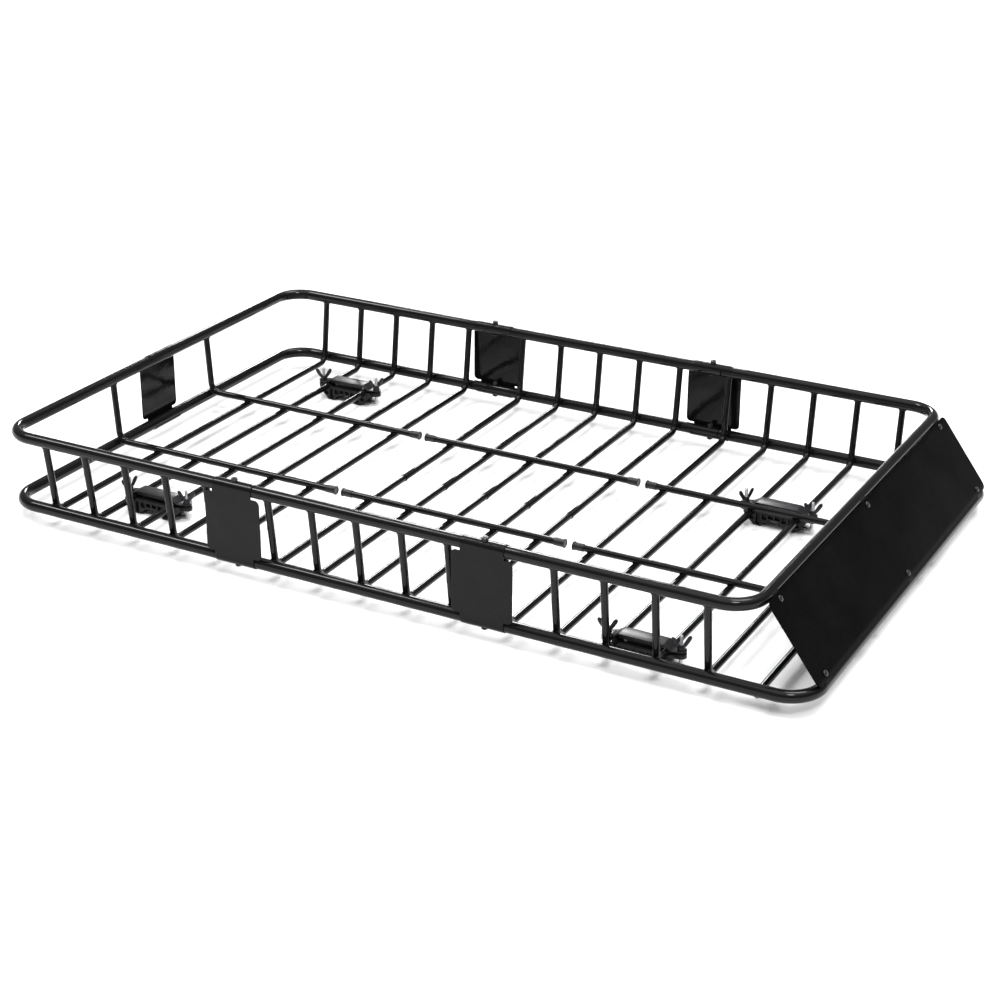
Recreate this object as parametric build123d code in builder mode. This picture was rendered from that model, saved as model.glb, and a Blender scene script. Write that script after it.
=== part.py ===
from build123d import *
from math import asin, atan2, cos, degrees, radians, sin, sqrt, tan
import os

# Rooftop cargo basket with a front wind fairing, for the crossbars of a car.
# Frame: +X towards the fairing (front), +Y across, +Z up, millimetres.
# Origin: middle of the basket on the surface it stands on (the clamp feet).

# ---------------------------------------------------------------- dimensions
RAIL_OD = 22.2            # rail tube, 7/8 inch
RAIL_WALL = 1.2
BAR_OD = 13.0             # crossbar, upright and floor bar tube
BAR_WALL = 1.0
GAP = 0.05                # weld gap between tubes of one frame

X_REAR = -801.0           # both rails' rear run, centreline
X_FRONT = 802.15          # bottom rail's front run, centreline
HALF_W = 478.8            # both rails' centreline, half width
X_TOP_FRONT = 700.5       # top rail's front run, set back so the fairing slopes
RAIL_BEND = 58.0          # centreline radius of the rail corners
Z_BOT = 34.0              # bottom rail centreline height
Z_TOP = Z_BOT + 137.3     # top rail centreline height
Z_BAR = 28.0              # crossbar centreline height
Z_FLOOR = 41.1            # floor bar centreline height

BAR_PITCH = 90.74
X_REAR_BARS = [-704.4 + i * BAR_PITCH for i in range(5)]
X_MID_BARS = [-209.85 + i * BAR_PITCH for i in range(5)]
X_FRONT_BARS = [262.0 + i * BAR_PITCH for i in range(5)]
X_END_BAR = 262.0 + 5 * BAR_PITCH
BAR_BEND = 20.0           # centreline radius where a crossbar turns up
Y_CORNER = 461.4         # corner of the crossbar's path, inside the rail
Y_FLOOR = 157.0           # floor bars, either side of the middle

BOLT_X_REAR = -277.6      # joint between rear and middle sections
BOLT_X_FRONT = 225.1      # joint between middle and front sections
SPIGOT = 40.0             # swaged length inside the neighbouring tube
JOIN_Y = -18.5            # where the middle crossbars' halves meet
NECK_LEN = 28.0           # necked length inside the other half

PLATE_T = 1.2             # joint plate sheet
PLATE_W = 116.6           # joint plate body width
SLEEVE_W = 83.0           # width of the part rolled over the rails
PLATE_H = 116.0

FAIR_T = 1.5
FAIR_W = 901.0
FAIR_H = 160.0
FAIR_S = (15.3, 154.5)    # screw rows, down the slope from the top rail
FAIR_Y = (-410.9, 0.0, 410.9)

CLAMP_X = {"rear": (X_REAR_BARS[1] + X_REAR_BARS[2]) / 2,
           "front": (X_FRONT_BARS[2] + X_FRONT_BARS[3]) / 2}
CLAMP_Y = {"rear_far": 352.0, "rear_near": -330.0,
           "front_far": 192.0, "front_near": -413.0}
LEG_X = 67.0              # U-bolt legs, either side of the clamp's middle
ROD_R = 3.0               # U-bolt rod, M6
NUT_Z = 35.3              # underside of the wing nuts

RAIL_R = RAIL_OD / 2
BAR_R = BAR_OD / 2
SEAM_REAR = BOLT_X_REAR - SPIGOT / 2
SEAM_FRONT = BOLT_X_FRONT + SPIGOT / 2

os.makedirs("parts", exist_ok=True)

# ------------------------------------------------------------ section rails
# Each end section's rail is one tube bent to a U. Its two ends are swaged
# down to a spigot that enters the middle section's tube.
for name, z in (("rear_top_rail", Z_TOP), ("rear_bottom_rail", Z_BOT)):
    with BuildPart() as rail:
        with BuildLine(Plane.XY.offset(z)) as path:
            FilletPolyline((SEAM_REAR - 3, -HALF_W), (X_REAR, -HALF_W),
                           (X_REAR, HALF_W), (SEAM_REAR - 3, HALF_W), radius=RAIL_BEND)
        with BuildSketch(Plane(origin=(SEAM_REAR - 3, -HALF_W, z), z_dir=(-1, 0, 0))) as ring:
            Circle(RAIL_R)
            Circle(RAIL_R - RAIL_WALL, mode=Mode.SUBTRACT)
        sweep(sections=ring.sketch, path=path.line)
        for y in (-HALF_W, HALF_W):
            with BuildSketch(Plane.XY.offset(z)) as swage:
                with BuildLine():
                    Polyline((SEAM_REAR - 3, y + RAIL_R), (SEAM_REAR, y + 9.75),
                             (SEAM_REAR + SPIGOT, y + 9.75), (SEAM_REAR + SPIGOT, y + 8.55),
                             (SEAM_REAR, y + 8.55), (SEAM_REAR - 3, y + RAIL_R - RAIL_WALL),
                             close=True)
                make_face()
            revolve(swage.sketch, axis=Axis((0, y, z), (1, 0, 0)))
            with Locations((BOLT_X_REAR, y, z)):
                Cylinder(3.2, 40, mode=Mode.SUBTRACT)
    rail.part.label = name
    export_step(rail.part, f"parts/{name}.step")

for name, z, x_end in (("front_top_rail", Z_TOP, X_TOP_FRONT), ("front_bottom_rail", Z_BOT, X_FRONT)):
    with BuildPart() as rail:
        with BuildLine(Plane.XY.offset(z)) as path:
            FilletPolyline((SEAM_FRONT + 3, -HALF_W), (x_end, -HALF_W),
                           (x_end, HALF_W), (SEAM_FRONT + 3, HALF_W), radius=RAIL_BEND)
        with BuildSketch(Plane(origin=(SEAM_FRONT + 3, -HALF_W, z), z_dir=(1, 0, 0))) as ring:
            Circle(RAIL_R)
            Circle(RAIL_R - RAIL_WALL, mode=Mode.SUBTRACT)
        sweep(sections=ring.sketch, path=path.line)
        for y in (-HALF_W, HALF_W):
            with BuildSketch(Plane.XY.offset(z)) as swage:
                with BuildLine():
                    Polyline((SEAM_FRONT + 3, y + RAIL_R), (SEAM_FRONT, y + 9.75),
                             (SEAM_FRONT - SPIGOT, y + 9.75), (SEAM_FRONT - SPIGOT, y + 8.55),
                             (SEAM_FRONT, y + 8.55), (SEAM_FRONT + 3, y + RAIL_R - RAIL_WALL),
                             close=True)
                make_face()
            revolve(swage.sketch, axis=Axis((0, y, z), (1, 0, 0)))
            with Locations((BOLT_X_FRONT, y, z)):
                Cylinder(3.2, 40, mode=Mode.SUBTRACT)
    rail.part.label = name
    export_step(rail.part, f"parts/{name}.step")

# The middle section's rails are straight tubes, one above the other per side.
MID_A = SEAM_REAR + 0.2
MID_B = SEAM_FRONT - 0.2
for side, y in (("near", -HALF_W), ("far", HALF_W)):
    for level, z in (("top", Z_TOP), ("bottom", Z_BOT)):
        with BuildPart() as rail:
            with BuildSketch(Plane(origin=(MID_A, y, z), z_dir=(1, 0, 0))):
                Circle(RAIL_R)
                Circle(RAIL_R - RAIL_WALL, mode=Mode.SUBTRACT)
            extrude(amount=MID_B - MID_A)
            with Locations((BOLT_X_REAR, y, z), (BOLT_X_FRONT, y, z)):
                Cylinder(3.2, 40, mode=Mode.SUBTRACT)
        rail.part.label = f"middle_{side}_{level}_rail"
        export_step(rail.part, f"parts/middle_{side}_{level}_rail.step")

# --------------------------------------------------- crossbars with uprights
# One bent tube per station: floor run, a bend inside each bottom rail, and an
# upright that leans out to the underside of the top rail.
for name, stations in (("rear_crossbars", X_REAR_BARS), ("front_crossbars", X_FRONT_BARS)):
    with BuildPart() as bars:
        for x in stations:
            with BuildLine(Plane.YZ.offset(x)) as path:
                FilletPolyline((-HALF_W, Z_TOP), (-Y_CORNER, Z_BAR),
                               (Y_CORNER, Z_BAR), (HALF_W, Z_TOP), radius=BAR_BEND)
            with BuildSketch(Plane(origin=(x, -HALF_W, Z_TOP),
                                   z_dir=(0, HALF_W - Y_CORNER, Z_BAR - Z_TOP))) as ring:
                Circle(BAR_R)
                Circle(BAR_R - BAR_WALL, mode=Mode.SUBTRACT)
            sweep(sections=ring.sketch, path=path.line)
        with Locations((0, -HALF_W, Z_TOP), (0, HALF_W, Z_TOP)):
            Cylinder(RAIL_R + GAP, 1500, rotation=(0, 90, 0), mode=Mode.SUBTRACT)
    bars.part.label = name
    export_step(bars.part, f"parts/{name}.step")

# The middle section is two halves. The near half's crossbars neck down and
# push into the far half's, whose ends are rolled to a small lip.
with BuildPart() as middle_near_crossbars:
    for x in X_MID_BARS:
        with BuildLine(Plane.YZ.offset(x)) as path:
            FilletPolyline((-HALF_W, Z_TOP), (-Y_CORNER, Z_BAR), (JOIN_Y - 3, Z_BAR), radius=BAR_BEND)
        with BuildSketch(Plane(origin=(x, -HALF_W, Z_TOP),
                               z_dir=(0, HALF_W - Y_CORNER, Z_BAR - Z_TOP))) as ring:
            Circle(BAR_R)
            Circle(BAR_R - BAR_WALL, mode=Mode.SUBTRACT)
        sweep(sections=ring.sketch, path=path.line)
        with BuildSketch(Plane.XY.offset(Z_BAR)) as neck:
            with BuildLine():
                Polyline((x + BAR_R, JOIN_Y - 3), (x + BAR_R - 0.3, JOIN_Y - 0.6), (x + BAR_R - 1.1, JOIN_Y),
                         (x + BAR_R - 1.1, JOIN_Y + NECK_LEN), (x + BAR_R - 2.1, JOIN_Y + NECK_LEN),
                         (x + BAR_R - 2.1, JOIN_Y), (x + BAR_R - BAR_WALL, JOIN_Y - 3), close=True)
            make_face()
        revolve(neck.sketch, axis=Axis((x, 0, Z_BAR), (0, 1, 0)))
    with Locations((0, -HALF_W, Z_TOP)):
        Cylinder(RAIL_R + GAP, 1500, rotation=(0, 90, 0), mode=Mode.SUBTRACT)
middle_near_crossbars.part.label = "middle_near_crossbars"
export_step(middle_near_crossbars.part, "parts/middle_near_crossbars.step")

with BuildPart() as middle_far_crossbars:
    for x in X_MID_BARS:
        with BuildLine(Plane.YZ.offset(x)) as path:
            FilletPolyline((JOIN_Y + 3, Z_BAR), (Y_CORNER, Z_BAR), (HALF_W, Z_TOP), radius=BAR_BEND)
        with BuildSketch(Plane(origin=(x, JOIN_Y + 3, Z_BAR), z_dir=(0, 1, 0))) as ring:
            Circle(BAR_R)
            Circle(BAR_R - BAR_WALL, mode=Mode.SUBTRACT)
        sweep(sections=ring.sketch, path=path.line)
        with BuildSketch(Plane.XY.offset(Z_BAR)) as lip:
            with BuildLine():
                Polyline((x + BAR_R - BAR_WALL, JOIN_Y + 0.2), (x + BAR_R + 0.6, JOIN_Y + 0.2), (x + BAR_R + 1.3, JOIN_Y + 0.9),
                         (x + BAR_R + 1.3, JOIN_Y + 2.2), (x + BAR_R, JOIN_Y + 3), (x + BAR_R - BAR_WALL, JOIN_Y + 3), close=True)
            make_face()
        revolve(lip.sketch, axis=Axis((x, 0, Z_BAR), (0, 1, 0)))
    with Locations((0, HALF_W, Z_TOP)):
        Cylinder(RAIL_R + GAP, 1500, rotation=(0, 90, 0), mode=Mode.SUBTRACT)
middle_far_crossbars.part.label = "middle_far_crossbars"
export_step(middle_far_crossbars.part, "parts/middle_far_crossbars.step")

# The frontmost crossbar is straight and is coped onto the bottom rails.
with BuildPart() as front_end_crossbar:
    with BuildSketch(Plane(origin=(X_END_BAR, -HALF_W + 4, Z_BAR), z_dir=(0, 1, 0))):
        Circle(BAR_R)
        Circle(BAR_R - BAR_WALL, mode=Mode.SUBTRACT)
    extrude(amount=2 * HALF_W - 8)
    with Locations((X_END_BAR, -HALF_W, Z_BOT), (X_END_BAR, HALF_W, Z_BOT)):
        Cylinder(RAIL_R + GAP, 60, rotation=(0, 90, 0), mode=Mode.SUBTRACT)
    with Locations((X_END_BAR, -HALF_W, Z_BOT), (X_END_BAR, HALF_W, Z_BOT)):
        Box(40, 20, 60, mode=Mode.SUBTRACT)
front_end_crossbar.part.label = "front_end_crossbar"
export_step(front_end_crossbar.part, "parts/front_end_crossbar.step")

# ---------------------------------------------------------------- floor bars
# Two bars per section lie lengthwise on the crossbars. The rear pair turns up
# at the back to meet the rear top rail. The front pair ends on the front rail.
FLOOR_GAPS = ((-276.0, -262.0), (214.0, 230.0))
X_TURN = X_REAR + 8.0
with BuildPart() as rear_floor_bars:
    for y in (-Y_FLOOR, Y_FLOOR):
        with BuildLine(Plane(origin=(0, y, 0), x_dir=(1, 0, 0), z_dir=(0, -1, 0))) as path:
            FilletPolyline((FLOOR_GAPS[0][0] - 2, Z_FLOOR), (X_TURN, Z_FLOOR), (X_REAR, Z_TOP), radius=BAR_BEND)
        with BuildSketch(Plane(origin=(FLOOR_GAPS[0][0] - 2, y, Z_FLOOR), z_dir=(-1, 0, 0))) as ring:
            Circle(BAR_R)
            Circle(BAR_R - BAR_WALL, mode=Mode.SUBTRACT)
        sweep(sections=ring.sketch, path=path.line)
    with Locations((X_REAR, 0, Z_TOP)):
        Cylinder(RAIL_R + GAP, 600, rotation=(90, 0, 0), mode=Mode.SUBTRACT)
rear_floor_bars.part.label = "rear_floor_bars"
export_step(rear_floor_bars.part, "parts/rear_floor_bars.step")

for side, y in (("near", -Y_FLOOR), ("far", Y_FLOOR)):
    with BuildPart() as bar:
        with BuildSketch(Plane(origin=(FLOOR_GAPS[0][1] + 2, y, Z_FLOOR), z_dir=(1, 0, 0))):
            Circle(BAR_R)
            Circle(BAR_R - BAR_WALL, mode=Mode.SUBTRACT)
        extrude(amount=FLOOR_GAPS[1][0] - FLOOR_GAPS[0][1] - 4)
    bar.part.label = f"middle_{side}_floor_bar"
    export_step(bar.part, f"parts/middle_{side}_floor_bar.step")

with BuildPart() as front_floor_bars:
    for y in (-Y_FLOOR, Y_FLOOR):
        with BuildSketch(Plane(origin=(FLOOR_GAPS[1][1] + 2, y, Z_FLOOR), z_dir=(1, 0, 0))):
            Circle(BAR_R)
            Circle(BAR_R - BAR_WALL, mode=Mode.SUBTRACT)
        extrude(amount=X_FRONT - 4 - FLOOR_GAPS[1][1] - 2)
    with Locations((X_FRONT, 0, Z_BOT)):
        Cylinder(RAIL_R + GAP, 600, rotation=(90, 0, 0), mode=Mode.SUBTRACT)
    with Locations((X_FRONT, 0, Z_BOT)):
        Box(12, 600, 60, mode=Mode.SUBTRACT)
front_floor_bars.part.label = "front_floor_bars"
export_step(front_floor_bars.part, "parts/front_floor_bars.step")

# Push-on caps close the open ends of the floor bars at the section joints.
CAP_LEN = 22.0
with BuildPart() as floor_bar_caps:
    for x, d in ((FLOOR_GAPS[0][0], -1), (FLOOR_GAPS[0][1], 1), (FLOOR_GAPS[1][0], -1), (FLOOR_GAPS[1][1], 1)):
        for y in (-Y_FLOOR, Y_FLOOR):
            with BuildSketch(Plane.XY.offset(Z_FLOOR)) as cap:
                with BuildLine():
                    Polyline((x, y), (x, y + 7.8), (x + d * 0.8, y + 8.6), (x + d * 3.0, y + 8.6), (x + d * 3.6, y + 7.7),
                             (x + d * CAP_LEN, y + 7.4), (x + d * CAP_LEN, y + BAR_R + GAP), (x + d * 1.9, y + BAR_R + GAP),
                             (x + d * 1.9, y), close=True)
                make_face()
            revolve(cap.sketch, axis=Axis((0, y, Z_FLOOR), (1, 0, 0)))
floor_bar_caps.part.label = "floor_bar_caps"
export_step(floor_bar_caps.part, "parts/floor_bar_caps.step")

# -------------------------------------------------------------- joint plates
# Sheet plates hook over the top rail and under the bottom rail from outside,
# and cover each tube joint. A fifth one stiffens the middle of the rear end.
RI = RAIL_R + GAP
RO = RI + PLATE_T
Z_MID = (Z_TOP + Z_BOT) / 2
for name, xc, s in (("joint_plate_rear_near", BOLT_X_REAR, -1), ("joint_plate_rear_far", BOLT_X_REAR, 1),
                    ("joint_plate_front_near", BOLT_X_FRONT, -1), ("joint_plate_front_far", BOLT_X_FRONT, 1)):
    with BuildPart() as plate:
        with BuildSketch(Plane.YZ.offset(xc - SLEEVE_W / 2)):
            for z, up in ((Z_TOP, 1), (Z_BOT, -1)):
                with Locations((s * HALF_W, z)):
                    Circle(RO)
            for z, up in ((Z_TOP, 1), (Z_BOT, -1)):
                with Locations((s * HALF_W, z)):
                    Circle(RI, mode=Mode.SUBTRACT)
                with Locations((s * (HALF_W + 10), z - up * 10)):
                    Rectangle(20, 20, mode=Mode.SUBTRACT)
                with Locations((s * (HALF_W - 10), z - up * 6)):
                    Rectangle(20, 20, mode=Mode.SUBTRACT)
            with Locations((s * (HALF_W + RI + PLATE_T / 2), Z_MID)):
                Rectangle(PLATE_T, Z_TOP - Z_BOT)
        extrude(amount=SLEEVE_W)
        with BuildSketch(Plane(origin=(xc, s * (HALF_W + RI), Z_MID), x_dir=(1, 0, 0), z_dir=(0, s, 0))):
            RectangleRounded(PLATE_W, PLATE_H, 9)
        extrude(amount=PLATE_T)
        with Locations((xc, s * HALF_W, Z_TOP), (xc, s * HALF_W, Z_BOT)):
            Cylinder(3.3, 60, mode=Mode.SUBTRACT)
    plate.part.label = name
    export_step(plate.part, f"parts/{name}.step")

with BuildPart() as joint_plate_rear_end:
    with BuildSketch(Plane.XZ.offset(-SLEEVE_W / 2)):
        for z, up in ((Z_TOP, 1), (Z_BOT, -1)):
            with Locations((X_REAR, z)):
                Circle(RO)
        for z, up in ((Z_TOP, 1), (Z_BOT, -1)):
            with Locations((X_REAR, z)):
                Circle(RI, mode=Mode.SUBTRACT)
            with Locations((X_REAR - 10, z - up * 10)):
                Rectangle(20, 20, mode=Mode.SUBTRACT)
            with Locations((X_REAR + 10, z - up * 6)):
                Rectangle(20, 20, mode=Mode.SUBTRACT)
        with Locations((X_REAR - RI - PLATE_T / 2, Z_MID)):
            Rectangle(PLATE_T, Z_TOP - Z_BOT)
    extrude(amount=SLEEVE_W)
    with BuildSketch(Plane(origin=(X_REAR - RI, 0, Z_MID), x_dir=(0, 1, 0), z_dir=(-1, 0, 0))):
        RectangleRounded(PLATE_W - 3, PLATE_H, 9)
    extrude(amount=PLATE_T)
joint_plate_rear_end.part.label = "joint_plate_rear_end"
export_step(joint_plate_rear_end.part, "parts/joint_plate_rear_end.step")

# Eight M6 bolts pin the swaged joints, head below and nut on top.
BOLTS = [(x, y, z) for x in (BOLT_X_REAR, BOLT_X_FRONT) for y in (-HALF_W, HALF_W) for z in (Z_TOP, Z_BOT)]
with BuildPart() as joint_bolts:
    for x, y, z in BOLTS:
        low = z - (RAIL_R if z == Z_TOP else RO)
        end = z + (RO if z == Z_TOP else RAIL_R) + 8.5
        with BuildSketch(Plane(origin=(x, y, 0), x_dir=(1, 0, 0), z_dir=(0, -1, 0))) as bolt:
            with BuildLine():
                Polyline((1.5, low - 4.0), (0, low - 4.0), (0, end))
                Polyline((0, end), (2.4, end), (3.0, end - 0.6), (3.0, low - 0.05), (6.2, low - 0.05), (6.2, low - 1.2))
                ThreePointArc((6.2, low - 1.2), (4.5, low - 3.1), (1.5, low - 4.0))
            make_face()
        revolve(bolt.sketch, axis=Axis((x, y, 0), (0, 0, 1)))
joint_bolts.part.label = "joint_bolts"
export_step(joint_bolts.part, "parts/joint_bolts.step")

with BuildPart() as joint_washers:
    for x, y, z in BOLTS:
        seat = z + (RO if z == Z_TOP else RAIL_R)
        with BuildSketch(Plane(origin=(x, y, seat + 0.05), z_dir=(0, 0, 1))):
            Circle(6.2)
            Circle(3.2, mode=Mode.SUBTRACT)
        extrude(amount=1.2)
joint_washers.part.label = "joint_washers"
export_step(joint_washers.part, "parts/joint_washers.step")

with BuildPart() as joint_nuts:
    for x, y, z in BOLTS:
        seat = z + (RO if z == Z_TOP else RAIL_R) + 1.3
        with BuildSketch(Plane(origin=(x, y, seat), z_dir=(0, 0, 1))):
            RegularPolygon(5.0, 6, major_radius=False)
            Circle(3.03, mode=Mode.SUBTRACT)
        extrude(amount=5.0)
joint_nuts.part.label = "joint_nuts"
export_step(joint_nuts.part, "parts/joint_nuts.step")

# ------------------------------------------------------------------- fairing
# A flat sheet lies on the front of both front rail runs. Six tabs welded to
# the rails carry its screws, and two struts tie the rails together behind it.
SLOPE = sqrt((X_FRONT - X_TOP_FRONT) ** 2 + (Z_TOP - Z_BOT) ** 2)
TX, TZ = (X_FRONT - X_TOP_FRONT) / SLOPE, (Z_BOT - Z_TOP) / SLOPE
NX, NZ = -TZ, TX
slope_plane = Plane(origin=(X_TOP_FRONT, 0, Z_TOP), x_dir=(TX, 0, TZ), z_dir=(NX, 0, NZ))
FAIR_SPOTS = [(s, y) for s in FAIR_S for y in FAIR_Y]

with BuildPart() as fairing_panel:
    with BuildSketch(slope_plane.offset(RAIL_R + GAP)):
        with Locations((5.0 + FAIR_H / 2, 0)):
            RectangleRounded(FAIR_H, FAIR_W, 12)
        with Locations(*FAIR_SPOTS):
            Circle(2.7, mode=Mode.SUBTRACT)
    extrude(amount=FAIR_T)
fairing_panel.part.label = "fairing_panel"
export_step(fairing_panel.part, "parts/fairing_panel.step")

with BuildPart() as fairing_tabs:
    with BuildSketch(slope_plane.offset(RAIL_R - 2.5)):
        with Locations(*[(13.5, y) for y in FAIR_Y]):
            Rectangle(27, 24)
        with Locations(*[(SLOPE - 13.5, y) for y in FAIR_Y]):
            Rectangle(27, 24)
        with Locations(*FAIR_SPOTS):
            Circle(2.7, mode=Mode.SUBTRACT)
    extrude(amount=2.5)
    with Locations((X_TOP_FRONT, 0, Z_TOP), (X_FRONT, 0, Z_BOT)):
        Cylinder(RAIL_R + GAP, 900, rotation=(90, 0, 0), mode=Mode.SUBTRACT)
fairing_tabs.part.label = "fairing_tabs"
export_step(fairing_tabs.part, "parts/fairing_tabs.step")

with BuildPart() as fairing_screws:
    for s, y in FAIR_SPOTS:
        hx, hz = X_TOP_FRONT + TX * s, Z_TOP + TZ * s
        with BuildSketch(Plane(origin=(hx, y, hz), x_dir=(0, 1, 0), z_dir=(TX, 0, TZ))) as screw:
            with BuildLine():
                Line((0, 1.5), (0, RAIL_R + FAIR_T + 3.4))
                ThreePointArc((0, RAIL_R + FAIR_T + 3.4), (3.6, RAIL_R + FAIR_T + 2.7), (5.6, RAIL_R + FAIR_T + 0.6))
                Polyline((5.6, RAIL_R + FAIR_T + 0.6), (5.6, RAIL_R + FAIR_T + 0.1), (2.5, RAIL_R + FAIR_T + 0.1),
                         (2.5, 2.0), (2.0, 1.5), (0, 1.5))
            make_face()
        revolve(screw.sketch, axis=Axis((hx, y, hz), (NX, 0, NZ)))
fairing_screws.part.label = "fairing_screws"
export_step(fairing_screws.part, "parts/fairing_screws.step")

with BuildPart() as fairing_nuts:
    with BuildSketch(slope_plane.offset(RAIL_R - 2.55 - 4.0)):
        with Locations(*FAIR_SPOTS):
            RegularPolygon(4.0, 6, major_radius=False)
            Circle(2.53, mode=Mode.SUBTRACT)
    extrude(amount=4.0)
fairing_nuts.part.label = "fairing_nuts"
export_step(fairing_nuts.part, "parts/fairing_nuts.step")

with BuildPart() as front_struts:
    for y in (-(Y_FLOOR + 15), Y_FLOOR + 15):
        with BuildSketch(Plane(origin=(X_TOP_FRONT, y, Z_TOP), z_dir=(TX, 0, TZ))):
            Circle(BAR_R)
            Circle(BAR_R - BAR_WALL, mode=Mode.SUBTRACT)
        extrude(amount=SLOPE)
    with Locations((X_TOP_FRONT, 0, Z_TOP), (X_FRONT, 0, Z_BOT)):
        Cylinder(RAIL_R + GAP, 900, rotation=(90, 0, 0), mode=Mode.SUBTRACT)
front_struts.part.label = "front_struts"
export_step(front_struts.part, "parts/front_struts.step")

# -------------------------------------------------------------------- clamps
# Each clamp grips two neighbouring crossbars between a pressed top plate and
# a ribbed saddle. A U-bolt runs under the saddle, up past the crossbars and
# through the plate's lowered ears to two wing nuts.
HALF_PITCH = BAR_PITCH / 2
PLATE_TOP = 42.5
EAR_TOP = 34.0
SADDLE_W = 48.0
FOOT_IN, FOOT_OUT = 26.0, 40.0
SADDLE_HALF = 62.0
ARCH = 15.0
LEG_TOP = 60.0
ROD_Z = 3.4
ROD_BEND = 9.0
NUT_TURN = {"rear_far": (25, 60), "rear_near": (70, 15), "front_far": (60, 20), "front_near": (15, 35)}

for spot, yc in CLAMP_Y.items():
    xc = CLAMP_X[spot.split("_")[0]]
    side_plane = Plane(origin=(xc, yc, 0), x_dir=(1, 0, 0), z_dir=(0, -1, 0))

    with BuildPart() as clamp_plate:
        with BuildSketch(side_plane):
            with BuildLine():
                Polyline((-80, EAR_TOP), (-54.7, EAR_TOP), (-40.7, PLATE_TOP), (40.7, PLATE_TOP), (54.7, EAR_TOP), (80, EAR_TOP),
                         (80, EAR_TOP - 2.6), (54.0, EAR_TOP - 2.6), (40.0, PLATE_TOP - 2.6),
                         (-40.0, PLATE_TOP - 2.6), (-54.0, EAR_TOP - 2.6), (-80, EAR_TOP - 2.6), close=True)
            make_face()
        extrude(amount=15, both=True)
        with Locations((xc, yc - 13.75, PLATE_TOP - 5.0), (xc, yc + 13.75, PLATE_TOP - 5.0)):
            Box(86, 2.5, 5.4)
        with Locations((xc - LEG_X, yc, EAR_TOP), (xc + LEG_X, yc, EAR_TOP)):
            Cylinder(3.3, 20, mode=Mode.SUBTRACT)
        with BuildSketch(Plane(origin=(xc, yc, 20), z_dir=(0, 0, 1))):
            Rectangle(110, 30)
            for e in (-1, 1):
                with BuildLine():
                    Polyline((e * 54, -15), (e * LEG_X, -10), (e * LEG_X, 10), (e * 54, 15), close=True)
                make_face()
            with Locations((-LEG_X, 0), (LEG_X, 0)):
                Circle(10)
        extrude(amount=40, mode=Mode.INTERSECT)
    clamp_plate.part.label = f"clamp_plate_{spot}"
    export_step(clamp_plate.part, f"parts/clamp_plate_{spot}.step")

    with BuildPart() as saddle:
        with BuildSketch(side_plane):
            with BuildLine():
                Polyline((-FOOT_IN, 0), (-FOOT_OUT, 0), (-SADDLE_HALF, 22), (-SADDLE_HALF, Z_BAR),
                         (SADDLE_HALF, Z_BAR), (SADDLE_HALF, 22), (FOOT_OUT, 0), (FOOT_IN, 0))
                ThreePointArc((FOOT_IN, 0), (0, ARCH), (-FOOT_IN, 0))
            make_face()
            with Locations((-HALF_PITCH, Z_BAR), (HALF_PITCH, Z_BAR)):
                Circle(BAR_R + 0.3, mode=Mode.SUBTRACT)
        extrude(amount=SADDLE_W / 2, both=True)
        # pockets between the ribs, on both long sides
        for y, d in ((yc - SADDLE_W / 2, 1), (yc + SADDLE_W / 2, -1)):
            with BuildSketch(Plane(origin=(xc, y, 0), x_dir=(1, 0, 0), z_dir=(0, -1, 0))) as pockets:
                for x0, x1, z0, z1 in ((-12, -1.5, 17.8, 25.5), (1.5, 12, 17.8, 25.5),
                                       (-24.5, -15, 14.5, 25.5), (15, 24.5, 14.5, 25.5),
                                       (-36.5, -28.5, 3, 25.5), (28.5, 36.5, 3, 25.5),
                                       (-49.5, -41, 11.5, 18.5), (41, 49.5, 11.5, 18.5)):
                    with Locations(((x0 + x1) / 2, (z0 + z1) / 2)):
                        Rectangle(x1 - x0, z1 - z0)
            extrude(pockets.sketch, amount=-6 * d, mode=Mode.SUBTRACT)
        # pads that stand under the plate's ears
        with BuildSketch(Plane(origin=(xc, yc, 20), z_dir=(0, 0, 1))):
            with Locations((-61.5, 0), (61.5, 0)):
                Rectangle(11, 20)
            with Locations((-LEG_X, 0), (LEG_X, 0)):
                Circle(10)
        extrude(amount=Z_BAR - 20)
        # channel that takes the U-bolt's run, and the holes for its legs
        with Locations((xc, yc, 3.6)):
            Box(170, 7.4, 7.2, mode=Mode.SUBTRACT)
        with Locations((xc - LEG_X, yc, 18), (xc + LEG_X, yc, 18)):
            Cylinder(3.7, 30, mode=Mode.SUBTRACT)
    saddle.part.label = f"clamp_saddle_{spot}"
    export_step(saddle.part, f"parts/clamp_saddle_{spot}.step")

    with BuildPart() as u_bolt:
        with BuildLine(side_plane) as path:
            FilletPolyline((-LEG_X, LEG_TOP), (-LEG_X, ROD_Z), (LEG_X, ROD_Z), (LEG_X, LEG_TOP), radius=ROD_BEND)
        with BuildSketch(Plane(origin=(xc - LEG_X, yc, LEG_TOP), z_dir=(0, 0, -1))) as rod:
            Circle(ROD_R)
        sweep(sections=rod.sketch, path=path.line)
        chamfer(u_bolt.part.edges().filter_by(GeomType.CIRCLE).group_by(Axis.Z)[-1], 0.6)
    u_bolt.part.label = f"u_bolt_{spot}"
    export_step(u_bolt.part, f"parts/u_bolt_{spot}.step")

    with BuildPart() as washers:
        with BuildSketch(Plane(origin=(xc, yc, EAR_TOP), z_dir=(0, 0, 1))):
            with Locations((-LEG_X, 0), (LEG_X, 0)):
                Circle(7.5)
                Circle(3.3, mode=Mode.SUBTRACT)
        extrude(amount=1.2)
    washers.part.label = f"clamp_washers_{spot}"
    export_step(washers.part, f"parts/clamp_washers_{spot}.step")

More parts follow.
